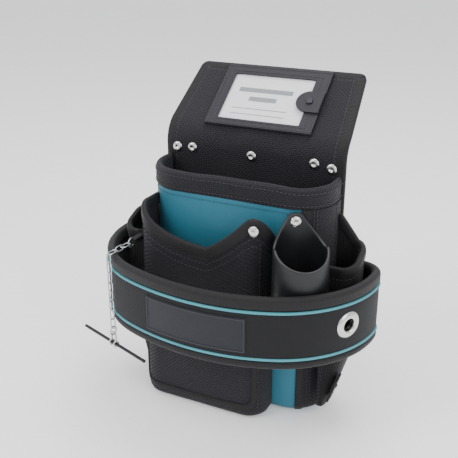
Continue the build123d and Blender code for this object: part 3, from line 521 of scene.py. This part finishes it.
PANEL_HALF, FLAP_TIP_HALF, PANEL_CORNER, TIP_CORNER = 92.0, 86.5, 12.0, 5.0
PANEL_FOOT = 2.5                             # height of its lower edge
PANEL_MIDDLE = 3.0                           # its middle plane is this far behind the pockets
FOLD_START, LEAN = 246.0, 52.0
FOLD_REACH = 14.0                            # the roll takes this much on each side of the fold line
FOLD_R = FOLD_REACH / tan(radians(LEAN / 2))
FOLD_Z = FOLD_START + FOLD_REACH
PANEL_THICK = 5.8
PANEL_SEAM_IN, PANEL_SEAM_OUT = 9.2, 2.75    # the binding's seam, in from the edge and out from the middle
UPRIGHT = FOLD_START - PANEL_FOOT
ROLL = FOLD_R * radians(LEAN)
FLAP_REACH = 88.0 - FOLD_REACH
PANEL_LENGTH = UPRIGHT + ROLL + FLAP_REACH


def on_panel(u, v, n):
    """A point of the panel: u across, v up along the sheet from its foot, n forward of its middle."""
    ripple = 0.5 * sin(u / 17 + v / 23) * sin(v / 31 + 1.3) + 0.35 * sin(u / 9.5 - v / 14)
    if v <= UPRIGHT:
        return u, PANEL_MIDDLE - n - ripple * min(1, v / 40) * 0.4, PANEL_FOOT + v
    lean = radians(LEAN) * min(1, (v - UPRIGHT) / ROLL)
    crease = 0.7 * sin(radians(180) * min(1, (v - UPRIGHT) / ROLL)) * cos(u / 11 + 0.8 * sin(u / 29))
    n = n + ripple * 0.04 + crease
    y = PANEL_MIDDLE + FOLD_R * (1 - cos(lean))
    z = FOLD_START + FOLD_R * sin(lean)
    past = max(0, v - UPRIGHT - ROLL)
    return u, y + past * sin(lean) - n * cos(lean), z + past * cos(lean) + n * sin(lean)


def panel_span(v):
    """Left and right edge of the panel at v."""
    half = PANEL_HALF
    if v < PANEL_CORNER:
        half -= PANEL_CORNER - sqrt(PANEL_CORNER**2 - (PANEL_CORNER - v) ** 2)
    if v > UPRIGHT + ROLL:
        half -= (PANEL_HALF - FLAP_TIP_HALF) * (v - UPRIGHT - ROLL) / FLAP_REACH
    return -half, half


def panel_edge():
    """The panel's edge from the top centre down the right side, along the foot and back up."""
    tip, top = FLAP_TIP_HALF - TIP_CORNER, PANEL_LENGTH - TIP_CORNER
    right = [(u, PANEL_LENGTH, 0, -1) for u in steps(-2, tip, 14)]
    right += [(tip + TIP_CORNER * sin(a), top + TIP_CORNER * cos(a), -sin(a), -cos(a))
              for a in steps(radians(15), radians(75), 4)]
    right += [(panel_span(v)[1], v, -1, 0) for v in steps(top, PANEL_CORNER, 110)]
    middle = PANEL_HALF - PANEL_CORNER
    right += [(middle + PANEL_CORNER * cos(a), PANEL_CORNER - PANEL_CORNER * sin(a), -cos(a), sin(a))
              for a in steps(radians(8), radians(90), 8)]
    right += [(u, 0, 0, 1) for u in steps(middle - 4, 0, 12)]
    left = [(-u, v, -a, b) for u, v, a, b in reversed(right[:-1])]
    return right + left


panel = slab("padded back and flap", NYLON, on_panel, panel_span, (0, PANEL_LENGTH), PANEL_THICK,
             steps=(90, 130))
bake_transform(panel)
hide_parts("back_panel", "back_cover", "flap_cover", "flap_lining")

panel_tape = edging("panel binding", TAPE, on_panel, panel_edge(), 12.0, 6.3, over=2.0)
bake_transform(panel_tape)
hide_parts("back_binding", "flap_binding")

inner = [(u + PANEL_SEAM_IN * a, v + PANEL_SEAM_IN * b) for u, v, a, b in panel_edge()]
seam_lines = [[on_panel(u, v, side * PANEL_SEAM_OUT) for u, v in inner] for side in (1, -1)]
panel_seam = stitching("panel binding seam", seam_lines)
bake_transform(panel_seam)

dress("back_board", BOARD)
dress("flap_board", BOARD)


# ---- main pocket -----------------------------------------------------------------------------
# A deep box of teal nylon with rounded front corners, black gussets at its sides and a thick rolled hem. The
# cloth stands by its own stiffness and bows a little.

BODY_HALF, BODY_DEEP, BODY_ROUND, BODY_TOP, TOE = 90.0, 48.0, 34.0, 214.0, 10.0
body_front = round_front(-BODY_HALF, BODY_HALF, -BODY_DEEP, BODY_ROUND, -0.6, -0.6)


def on_body(u, v, n):
    """A point of the main pocket's cloth: u round its plan from the back left, v up from the foot."""
    side = abs(2 * u / body_front.length - 1)
    sag = 1.1 * sin(pi * min(1, v / BODY_TOP)) * (1 - side**6) - 0.5
    fold = 0.9 * sin(u / 19 + v / 41) * sin(v / 47 + 0.7) * (1 - side**8)
    tuck = TOE * (1 - sqrt(max(0.0, 1 - (1 - min(v, TOE) / TOE) ** 2)))
    x, y = body_front.out(u, n + (sag + fold) * 0.7 - tuck * 0.9)
    return x, min(y, -0.3), max(v, 0.0) + 1.0


CLOTH_THICK = 2.4
body = slab("main pocket front", TEAL, on_body, (0, body_front.length), (0, BODY_TOP + 2), CLOTH_THICK,
            steps=(150, 60))
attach(body, "pouch")
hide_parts("main_pocket_front")


def base_span(v):
    """Left and right edge of the pocket's floor at a distance v in front of the back panel."""
    short = max(0.0, v - (BODY_DEEP - BODY_ROUND))
    half = BODY_HALF - BODY_ROUND + sqrt(max(0.0, BODY_ROUND**2 - short**2)) - TOE * 0.8
    return -half, half


floor_cloth = slab("main pocket floor", TEAL, lambda u, v, n: (u, -v, CLOTH_THICK + n), base_span,
                   (0.6, BODY_DEEP - TOE * 0.8), CLOTH_THICK, steps=(50, 16))
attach(floor_cloth, "pouch")

dress("main_pocket_lining", LINING)
dress("base_board", BOARD)

# Each gusset is a panel of the black nylon with a bound front edge. The right one wraps the corner.
gusset_rows = []
for side, name, wide in ((-1, "left", 21.0), (1, "right", 51.0)):
    def on_gusset(u, v, n, side=side):
        return on_body(u if side < 0 else body_front.length - u, v, n + 1.7)

    gusset = slab("gusset " + name, NYLON, on_gusset, (0, wide), (3, BODY_TOP), 2.0, steps=(60, 60))
    front_edge = [(wide, v, -1, 0) for v in steps(4, BODY_TOP, 60)]
    strip = edging("gusset binding " + name, TAPE, on_gusset, front_edge, 8.0, 3.6)
    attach(strip, "pouch")
    gusset_rows += [[on_gusset(u, v, 1.5) for v in steps(8, BODY_TOP - 2, 50)]
                    for u in (wide - 9, wide - 12, 12, 15)]
    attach(gusset, "pouch")
    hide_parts("side_gusset_" + name)


# ---- rolled hem ------------------------------------------------------------------------------
# The mouth of the main pocket is turned over a foam cord and sewn twice.

HEM_LOW, HEM_HIGH, HEM_THICK, HEM_PROUD = 214.0, 235.0, 8.0, 3.0
hem_line = round_front(-BODY_HALF, BODY_HALF, -BODY_DEEP, BODY_ROUND, -0.4, -0.4, proud=HEM_PROUD)


def on_hem(u, v, n):
    """A point of the hem: u round its plan, v up from its lower edge, n out of its middle."""
    wave = 0.5 * sin(u / 21 + 0.9) + 0.3 * sin(u / 8.3)
    x, y = hem_line.out(u, n - HEM_THICK / 2)
    return x, min(y, -0.2), HEM_LOW + v + wave * min(1, v / 10)


hem = slab("rolled hem", NYLON, on_hem, (0, hem_line.length), (0, HEM_HIGH - HEM_LOW), HEM_THICK - 1.6,
           crown=0.9, steps=(150, 16), edge=3.6, sides=3)
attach(hem, "pouch")
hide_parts("mouth_hem")

body_seams = [[on_hem(u, v, 4.1) for u in steps(3, hem_line.length - 3, 120)] for v in (4.5, 16.0)]
body_seams += gusset_rows
body_stitches = stitching("body stitching", body_seams)
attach(body_stitches, "pouch")

teal_rows = [[on_body(u, BODY_TOP - 4.5, 1.9) for u in steps(24, body_front.length - 24, 90)]]
teal_stitches = stitching("teal stitching", teal_rows, TEAL_THREAD)
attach(teal_stitches, "pouch")


# ---- curved front pocket ---------------------------------------------------------------------
# A stiff black nylon pocket. Its bound mouth dips in the middle and climbs on the right to an ear that is
# riveted to the body.

FRONT_LEFT, FRONT_RIGHT, FRONT_DEEP, FRONT_ROUND = -84.0, 46.0, 28.2, 20.0
FRONT_FACE = -BODY_DEEP - FRONT_DEEP
front_line = round_front(FRONT_LEFT, FRONT_RIGHT, FRONT_FACE, FRONT_ROUND, -BODY_DEEP + 12, -BODY_DEEP + 0.4)
LIP_LOW_X, LIP_LOW_Z, LIP_LEFT_Z, EAR_X, EAR_Z, EAR_ROUND = -9.0, 173.0, 204.0, 39.0, 214.0, 4.0
FLANK, FLANK_DROP = 34.0, 26.0               # the mouth slopes down behind the ear
FRONT_FOOT, FRONT_TOE, FRONT_TALL = 2.0, 9.0, 185.0


def lip_height(x):
    """Height of the mouth's edge above x."""
    if x < LIP_LOW_X:
        share = min(1.0, (LIP_LOW_X - x) / (LIP_LOW_X - FRONT_LEFT))
        return LIP_LOW_Z + (LIP_LEFT_Z - LIP_LOW_Z) * (0.25 * share + 0.75 * share**3.2)
    if x < EAR_X - EAR_ROUND:
        share = (x - LIP_LOW_X) / (EAR_X - EAR_ROUND - LIP_LOW_X)
        return LIP_LOW_Z + (EAR_Z - EAR_ROUND - LIP_LOW_Z) * (share**2 * 0.35 + share * 0.65)
    return EAR_Z - EAR_ROUND - 0.06 * (x - EAR_X + 2) ** 2


def on_front(u, v, n):
    """A point of the front pocket: u round its plan from the back left, v 0 at its foot and 1 at its mouth."""
    flank = max(0.0, u - front_line.length + FLANK) / FLANK
    z = FRONT_FOOT + v * (lip_height(front_line.out(u, 0)[0]) - FLANK_DROP * flank**1.6 - FRONT_FOOT)
    middle = 1 - abs(2 * u / front_line.length - 1) ** 4
    swell = 1.0 * middle * sin(pi * v) + 0.6 * middle * sin(u / 15 + z / 37) * sin(z / 29)
    toe = FRONT_TOE * (1 - sqrt(max(0.0, 1 - (1 - min(z, FRONT_TOE) / FRONT_TOE) ** 2)))
    x, y = front_line.out(u, n + swell - toe)
    return x, y, z


front = slab("front pocket", NYLON, lambda u, v, n: on_front(u, v / 100, n), (0, front_line.length), (0, 99),
             2.6, steps=(120, 60), edge=0.8, grain=1.85)
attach(front, "pouch")
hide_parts("front_pocket")

lip_edge = [(u, 1.0, 0, -1 / FRONT_TALL) for u in steps(0.5, front_line.length - 0.5, 110)]
lip = edging("front pocket binding", TAPE, on_front, lip_edge, 12.0, 5.8, over=1.8)
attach(lip, "pouch")
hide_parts("front_pocket_lip")

# A narrow tape outlines the pocket's lower front, with a rounded turn at each corner.
near, far, foot, turn = 30.0, front_line.length - 25.0, 0.05, 12.0
rise = turn / FRONT_TALL
outline = [(near, v, 1, 0) for v in steps(0.5, foot + rise, 20)]
outline += [(near + turn * (1 - cos(a)), foot + rise * (1 - sin(a)), cos(a), sin(a) / FRONT_TALL)
            for a in steps(0.2, 1.4, 5)]
outline += [(u, foot, 0, 1 / FRONT_TALL) for u in steps(near + turn, far - turn, 40)]
outline += [(far - turn * (1 - cos(a)), foot + rise * (1 - sin(a)), -cos(a), sin(a) / FRONT_TALL)
            for a in steps(1.4, 0.2, 5)]
outline += [(far, v, -1, 0) for v in steps(foot + rise, 0.5, 20)]
outline_tape = edging("front pocket outline", TAPE, on_front, outline, 5.5, 2.2, over=0.5, lift=1.4)
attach(outline_tape, "pouch")

front_floor = slab("front pocket floor", NYLON, lambda u, v, n: (u, -BODY_DEEP - v, 3.0 + n),
                   (FRONT_LEFT + FRONT_TOE, FRONT_RIGHT - FRONT_TOE), (0.2, FRONT_DEEP - FRONT_TOE),
                   CLOTH_THICK, steps=(40, 10))
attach(front_floor, "pouch")

front_rows = [[on_front(u, 1 - drop / FRONT_TALL, 1.8) for u in steps(4, front_line.length - 4, 120)]
              for drop in (15.0, 22.0)]
front_rows += [[on_front(u, v, 1.8) for v in steps(0.06, 0.9, 60)] for u in (near, front_line.length - 24.0)]
front_stitches = stitching("front pocket stitching", front_rows)
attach(front_stitches, "pouch")


# ---- side pockets ----------------------------------------------------------------------------
# Two webbing pockets for hand tools. Each is stitched to the gusset, has a rolled mouth that slopes down to
# the front, and tapers to a narrow foot below the band.

SIDE_IN, SIDE_OUT, SIDE_BACK, SIDE_FRONT, SIDE_ROUND = 91.5, 122.0, -5.6, -44.0, 14.0
SIDE_TOP, SIDE_SLOPE, SIDE_KNEE, SIDE_FOOT, SIDE_FOOT_WIDE = 179.0, 16.0, 86.0, 14.0, 8.0
SIDE_TALL, GORE_RISE, GORE_WIDE = 157.0, 25.0, 19.0
side_line = Track([(SIDE_IN, SIDE_FRONT)]
                  + arc(SIDE_OUT - SIDE_ROUND, SIDE_FRONT + SIDE_ROUND, SIDE_ROUND, 270, 360)
                  + arc(SIDE_OUT - SIDE_ROUND, SIDE_BACK - SIDE_ROUND, SIDE_ROUND, 0, 90)
                  + [(SIDE_IN, SIDE_BACK)])


def on_side(side):
    """The place function of one side pocket; v runs from 0 at its foot to 1 at its mouth."""
    def place(u, v, n):
        x, y = side_line.out(u, n + 0.7 * sin(u / 13 + v * 5) * sin(pi * v))
        mouth = SIDE_TOP - SIDE_SLOPE * (SIDE_BACK - side_line.at(u)[1]) / (SIDE_BACK - SIDE_FRONT)
        gore = GORE_RISE * max(0.0, 1 - (side_line.length - u) / GORE_WIDE)
        z = SIDE_FOOT + v * (mouth + gore - SIDE_FOOT)
        narrow = SIDE_FOOT_WIDE / (SIDE_OUT - SIDE_IN)
        wide = min(1.0, narrow + (1 - narrow) * (z - SIDE_FOOT) / (SIDE_KNEE - SIDE_FOOT))
        return side * max(SIDE_IN - 1, SIDE_IN + (x - SIDE_IN) * wide), y, z
    return place


side_rows = []
for side, name in ((-1, "left"), (1, "right")):
    place = on_side(side)
    pocket = slab("side pocket " + name, WEBBING, lambda u, v, n: place(u, v / 100, n - CLOTH_THICK / 2),
                  (0, side_line.length), (0, 100), CLOTH_THICK, steps=(60, 60), edge=0.8, grain=1.6)
    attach(pocket, "pouch")
    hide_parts("side_pocket_" + name)
    mouth_edge = [(u, 1.0, 0, -1 / SIDE_TALL) for u in steps(0.5, side_line.length - 0.5, 60)]
    rolled = edging("side pocket binding " + name, TAPE, place, mouth_edge, 9.0, 5.6, over=1.5, lift=-1.2)
    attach(rolled, "pouch")
    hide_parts("side_pocket_" + name + "_binding")
    side_rows += [[place(u, 1 - 10 / SIDE_TALL, 0.4) for u in steps(2, side_line.length - 2, 60)]]
    side_rows += [[place(u, v, 0.4) for v in steps(0.02, 0.92, 50)] for u in (3.5, 6.5)]
side_stitches = stitching("side pocket stitching", side_rows)
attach(side_stitches, "pouch")


# ---- tool tube -------------------------------------------------------------------------------
# A moulded rubber sleeve, open at both ends. A tongue at its back carries the rivet that holds it to the
# body.

TUBE_X, TUBE_Y, TUBE_FACING = 80.0, -70.0, -55.0
TUBE_R, TUBE_WALL, TUBE_TOP, TUBE_LONG = 25.0, 2.6, 190.0, 97.0
TONGUE, TONGUE_HALF, RIM_DROP = 23.5, 7.0, 13.0
TONGUE_RIVET_IN, TONGUE_RIVET_DOWN = 21.9, 8.0    # from the tube's axis, and below the tongue's tip
TUBE_MIDDLE = TUBE_R - TUBE_WALL / 2
TUBE_SEAM = TUBE_FACING + 180 - 80            # the sleeve is joined at the side away from the front


def on_tube(u, v, n):
    """A point of the tube: u round it from its seam, v from 0 at its lower end to 1 at its rim.

    The rim is lower at the front, and rises into the tongue at the back."""
    angle = radians(TUBE_SEAM) + u / TUBE_MIDDLE
    apart = (angle - radians(TUBE_FACING + 180) + pi) % (2 * pi) - pi
    if abs(apart) < pi / 2:
        aside = abs(TUBE_R * sin(apart))
        rise = min(TONGUE, TONGUE * (TUBE_R - aside) / (TUBE_R - TONGUE_HALF)) - 0.03 * min(aside, 9) ** 2
    else:
        rise = -RIM_DROP * abs(cos(apart))
    radius = TUBE_MIDDLE + n + 0.5 * sin(2 * angle + 1) * (1 - v)
    z = TUBE_TOP - TUBE_LONG + v * (TUBE_LONG + rise)
    return TUBE_X + radius * cos(angle), TUBE_Y + radius * sin(angle), z


TUBE_ROUND = 2 * pi * TUBE_MIDDLE
tube = slab("tool tube", RUBBER, lambda u, v, n: on_tube(u, v / 100, n), (0, TUBE_ROUND), (0, 100), TUBE_WALL,
            steps=(128, 50), edge=1.0)
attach(tube, "pouch")
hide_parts("tool_tube")


# ---- padded band -----------------------------------------------------------------------------
# Foam under smooth nylon, wrapped round the pockets. A teal piping and a rolled black binding run along each
# edge.

BAND_THICK, BAND_LOW, BAND_TOP, BINDING_TOP, BINDING_LOW = 6.0, 87.0, 157.0, 13.0, 9.5
BINDING_THICK, PIPING_WIDE, PIPING_GAP = 8.0, 2.8, 0.9
FRONT_R, FRONT_Y, CORNER_R, CORNER_X, CORNER_Y = 204.0, 80.0, 98.0, 39.0, -18.57
REAR_R, REAR_X, BAND_END = 20.0, 117.0, 94.8
MEET = degrees(atan2(CORNER_Y - FRONT_Y, CORNER_X))
band_line = Track([(-BAND_END, CORNER_Y + REAR_R)]
                  + arc(-REAR_X, CORNER_Y, REAR_R, 90, 180, 14)
                  + arc(-CORNER_X, CORNER_Y, CORNER_R, 180, 180 - MEET, 40)
                  + arc(0, FRONT_Y, FRONT_R, 180 - MEET, 360 + MEET, 40)
                  + arc(CORNER_X, CORNER_Y, CORNER_R, MEET, 0, 40)
                  + arc(REAR_X, CORNER_Y, REAR_R, 0, 90, 14)
                  + [(BAND_END, CORNER_Y + REAR_R)])
BAND_MIDDLE = band_line.length / 2


def on_band(u, v, n):
    """A point of the band: u round it from its left end, v its height, n out from its outer face."""
    x, y = band_line.out(u, n)
    return x, y, v + 0.35 * sin(u / 27 + 0.5)


def in_band(u, v, n):
    """A point of the band, with n out from the middle of its thickness."""
    return on_band(u, v, n - BAND_THICK / 2)


FIELD_LOW, FIELD_TOP = BAND_LOW + BINDING_LOW, BAND_TOP - BINDING_TOP
band = slab("padded band", BAND_CLOTH, in_band, (0, band_line.length), (FIELD_LOW - 2, FIELD_TOP + 2),
            BAND_THICK, crown=1.1, steps=(220, 24), sides=6)
EYELET_ANGLE, EYELET_Z, EYELET_HOLE = radians(-29), 123.0, 6.9
eyelet_x, eyelet_y = CORNER_X + CORNER_R * cos(EYELET_ANGLE), CORNER_Y + CORNER_R * sin(EYELET_ANGLE)
punch = lathe("punch", [(EYELET_HOLE, -20), (EYELET_HOLE, 20)], NICKEL)
punch.location = (eyelet_x / 1000, eyelet_y / 1000, EYELET_Z / 1000)
punch.rotation_euler = (pi / 2, 0, EYELET_ANGLE + pi / 2)
cut = band.modifiers.new("eyelet hole", "BOOLEAN")
cut.operation, cut.solver, cut.object = "DIFFERENCE", "EXACT", punch
bpy.context.view_layer.update()
punched = bpy.data.meshes.new_from_object(band.evaluated_get(bpy.context.evaluated_depsgraph_get()))
band.modifiers.clear()
band.data = punched
bpy.data.objects.remove(punch)
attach(band, "pouch")
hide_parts("front_band")

along = steps(1, band_line.length - 1, 220)
for low, high, name in ((FIELD_TOP, BAND_TOP, "top"), (BAND_LOW, FIELD_LOW, "bottom")):
    binding = slab("band binding " + name, TAPE, in_band, (0, band_line.length), (low, high), BINDING_THICK,
                   crown=0.5, steps=(220, 10), edge=3.8)
    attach(binding, "pouch")
    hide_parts("band_" + name + "_binding")
    height = low - PIPING_GAP if name == "top" else high + PIPING_GAP
    line = [on_band(u, height, 0.5) for u in along]
    facing = [Vector(on_band(u, height, 1.5)) - Vector(on_band(u, height, 0.5)) for u in along]
    piping = rope("band piping " + name, PIPING, line, facing, PIPING_WIDE, PIPING_WIDE, roundness=2,
                  around=12)
    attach(piping, "pouch")
    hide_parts("band_" + name + "_piping")

# The badge is a patch of finer cloth with a thin woven border.
BADGE_HALF, BADGE_LOW, BADGE_TOP, BADGE_HEM = 50.0, 103.0, 137.0, 1.5
badge = slab("badge patch", BADGE_CLOTH, lambda u, v, n: on_band(BAND_MIDDLE + u, v, n + 1.3),
             (-BADGE_HALF, BADGE_HALF), (BADGE_LOW, BADGE_TOP), 1.6, steps=(60, 16), edge=0.7)
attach(badge, "pouch")
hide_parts("badge_patch")
half, low, high = BADGE_HALF - BADGE_HEM, BADGE_LOW + BADGE_HEM, BADGE_TOP - BADGE_HEM
corners = [(-half, low), (half, low), (half, high), (-half, high), (-half, low)]
border = [p for a, b in zip(corners, corners[1:]) for p in between(a, b, 24)[:-1]]
badge_rows = [[on_band(BAND_MIDDLE + u, v, 2.3) for u, v in border + border[:1]]]
badge_stitches = stitching("badge border", badge_rows, pitch=1.6, length=2.4, radius=0.5)
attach(badge_stitches, "pouch")

# The eyelet's front half has a domed flange that rolls into the barrel.
EYELET_PROFILE = [(6.05, -3.5), (6.05, 1.2), (6.5, 2.2), (7.6, 2.8), (9.3, 2.7), (11.2, 2.0), (12.6, 1.0),
                  (13.0, 0.2), (12.7, -0.2), (7.1, -0.4), (7.1, -3.5)]
eyelet = lathe("eyelet flange", EYELET_PROFILE, NICKEL, ring=True)
aim = Vector((cos(EYELET_ANGLE), sin(EYELET_ANGLE), 0)).to_track_quat("Z", "Y").to_matrix()
for vertex in eyelet.data.vertices:
    vertex.co = aim @ vertex.co + Vector((eyelet_x, eyelet_y, EYELET_Z)) / 1000
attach(eyelet, "pouch")
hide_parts("eyelet_front")
dress("eyelet_back", NICKEL)


# ---- name card on the flap -------------------------------------------------------------------
# A stitched frame with a clear window holds a card that slides out to the right. A half-round tab snaps over
# the frame's edge with a dark stud. The card has heading bars and ruled lines, with nothing written on it.

FLAP_FACE, FRAME_FACE = 3.0, 3.6
FRAME_LEFT, FRAME_RIGHT, FRAME_LOW, FRAME_TOP = -54.0, 57.0, 8.0, 85.0


def on_flap(x, s, n):
    """A point of the flap: x across, s up it from the fold line, n in front of its face."""
    lean, n = radians(LEAN), n + FLAP_FACE
    return x, PANEL_MIDDLE + s * sin(lean) - n * cos(lean), FOLD_Z + s * cos(lean) + n * sin(lean)


dress("id_frame", VINYL)
dress("id_window", CLEAR)
dress("id_card", CARD)
dress("id_tab", VINYL)
dress("id_stud_cap", GUNMETAL)
dress("id_stud_socket", GUNMETAL)

# Each bar or line is given by its inset at both ends, its lower edge and its height.
rules = [slab("rule", INK, lambda u, v, n: on_flap(u, v, 1.2 + n), (-33 + inset, 24 - inset),
              (low, low + tall), 0.1, steps=(4, 2))
         for inset, low, tall in ((0, 52, 5.5), (14, 41, 5.5), (0, 31, 0.9), (0, 24, 0.9))]
printed = joined("card rules", rules)
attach(printed, "card")

frame_rows = []
for inset in (2.5, 8.5):
    left, right = FRAME_LEFT + inset, FRAME_RIGHT - inset
    low, high = FRAME_LOW + inset * 0.7, FRAME_TOP - inset
    ring = [(left, low), (right, low), (right, high), (left, high), (left, low)]
    frame_rows += [[on_flap(x, s, FRAME_FACE) for x, s in between(a, b, 20)] for a, b in zip(ring, ring[1:])]
frame_stitches = stitching("card frame stitching", frame_rows, radius=0.36)
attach(frame_stitches, "flap")


# ---- rivets, tabs and belt tunnel ------------------------------------------------------------
# Domed nickel-plated rivets hold the layers together at the top of the back, the pocket's ear and the tube.
# The belt tunnel is wide webbing sewn down both sides.

spots = [(on_panel(x, z - PANEL_FOOT, 3.0), (0, -1, 0))
         for x, z in ((-81, 243), (-64, 244), (0, 243), (64, 244), (81, 241))]
riveted_back = riveted("back rivet heads", spots)
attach(riveted_back, "pouch")
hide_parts("back_rivets")

ear_low, ear_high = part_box("ear_rivet")
ear = ((500 * (ear_low.x + ear_high.x), 1000 * ear_low.y + 1.6, 500 * (ear_low.z + ear_high.z)), (0, -1, 0))
facing = (cos(radians(TUBE_FACING)), sin(radians(TUBE_FACING)), 0)
tongue_at = (TUBE_X - TONGUE_RIVET_IN * facing[0], TUBE_Y - TONGUE_RIVET_IN * facing[1],
             TUBE_TOP + TONGUE - TONGUE_RIVET_DOWN)
riveted_front = riveted("front rivet heads", [ear, (tongue_at, facing)])
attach(riveted_front, "pouch")
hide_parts("ear_rivet", "tube_rivet")

dress("side_tab_rivet", NICKEL)
dress("side_tab", WEBBING_SOLID)
dress("chain_anchor_tab", WEBBING_SOLID)
dress("belt_tunnel", WEBBING_SOLID)
tunnel_rows = [[(x, 8.9, z) for z in steps(161, 234, 20)] for x in (-58, -55, 55, 58)]
tunnel_stitches = stitching("belt tunnel stitching", tunnel_rows, radius=0.5)
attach(tunnel_stitches, "pouch")


# ---- tape chain ------------------------------------------------------------------------------
# Zinc-plated welded links hang over the band from a webbing tab. A jump ring and a clevis carry the coated
# bar that rolls of tape are pushed on to.

for node in ("chain_fixed_links", "chain_upper_links", "chain_lower_links", "jump_ring", "chain_anchor_ring"):
    dress(node, ZINC)
dress("bar_clevis", NICKEL)
dress("tape_bar", COATED)


# ---- camera, floor and light -----------------------------------------------------------------
# A pale floor, a soft light at the left front, a weaker one at the right and one overhead behind.

FLOOR_HALF = 20000
PALE = smooth("pale floor", "#fbfbfb", 0.8, mottling=0.01, Emission_Color=linear("#ffffff"),
              Emission_Strength=0.15)
floor_corners = [(x * FLOOR_HALF, y * FLOOR_HALF, 0) for x, y in ((-1, -1), (1, -1), (1, 1), (-1, 1))]
floor = mesh("floor", floor_corners, [(0, 1, 2, 3)], [(0, 0), (1, 0), (1, 1), (0, 1)], PALE)

backdrop = bpy.data.worlds.new("pale surroundings")
backdrop.use_nodes = True
backdrop.node_tree.nodes["Background"].inputs["Color"].default_value = linear("#f3f4f6")
backdrop.node_tree.nodes["Background"].inputs["Strength"].default_value = 1.2
scene.world = backdrop


def soft_light(name, at, size, power):
    """A square light that looks at the middle of the pouch."""
    data = bpy.data.lights.new(name, "AREA")
    data.shape, data.size, data.energy = "SQUARE", size, power
    lamp = bpy.data.objects.new(label_of(name), data)
    lamp.location = at
    lamp.rotation_euler = (Vector((0, -0.04, 0.15)) - Vector(at)).to_track_quat("-Z", "Y").to_euler()
    scene.collection.objects.link(lamp)


soft_light("left light", (-0.9, -1.1, 1.3), 0.8, 15)
soft_light("right light", (1.4, -0.7, 0.9), 0.9, 10)
soft_light("top light", (0.1, 0.3, 1.6), 1.0, 16)

AROUND, ABOVE, AWAY = radians(26), radians(22), 0.727
LOOKED_AT = Vector((-0.0044, -0.040, 0.1814))
lens = bpy.data.cameras.new("camera")
lens.lens, lens.sensor_width = 60.2, 36.0
camera = bpy.data.objects.new("camera", lens)
camera.location = LOOKED_AT + AWAY * Vector((sin(AROUND) * cos(ABOVE), -cos(AROUND) * cos(ABOVE), sin(ABOVE)))
camera.rotation_euler = (LOOKED_AT - camera.location).to_track_quat("-Z", "Y").to_euler()
scene.collection.objects.link(camera)
scene.camera = camera

bpy.data.objects.remove(RIVET_HEAD)
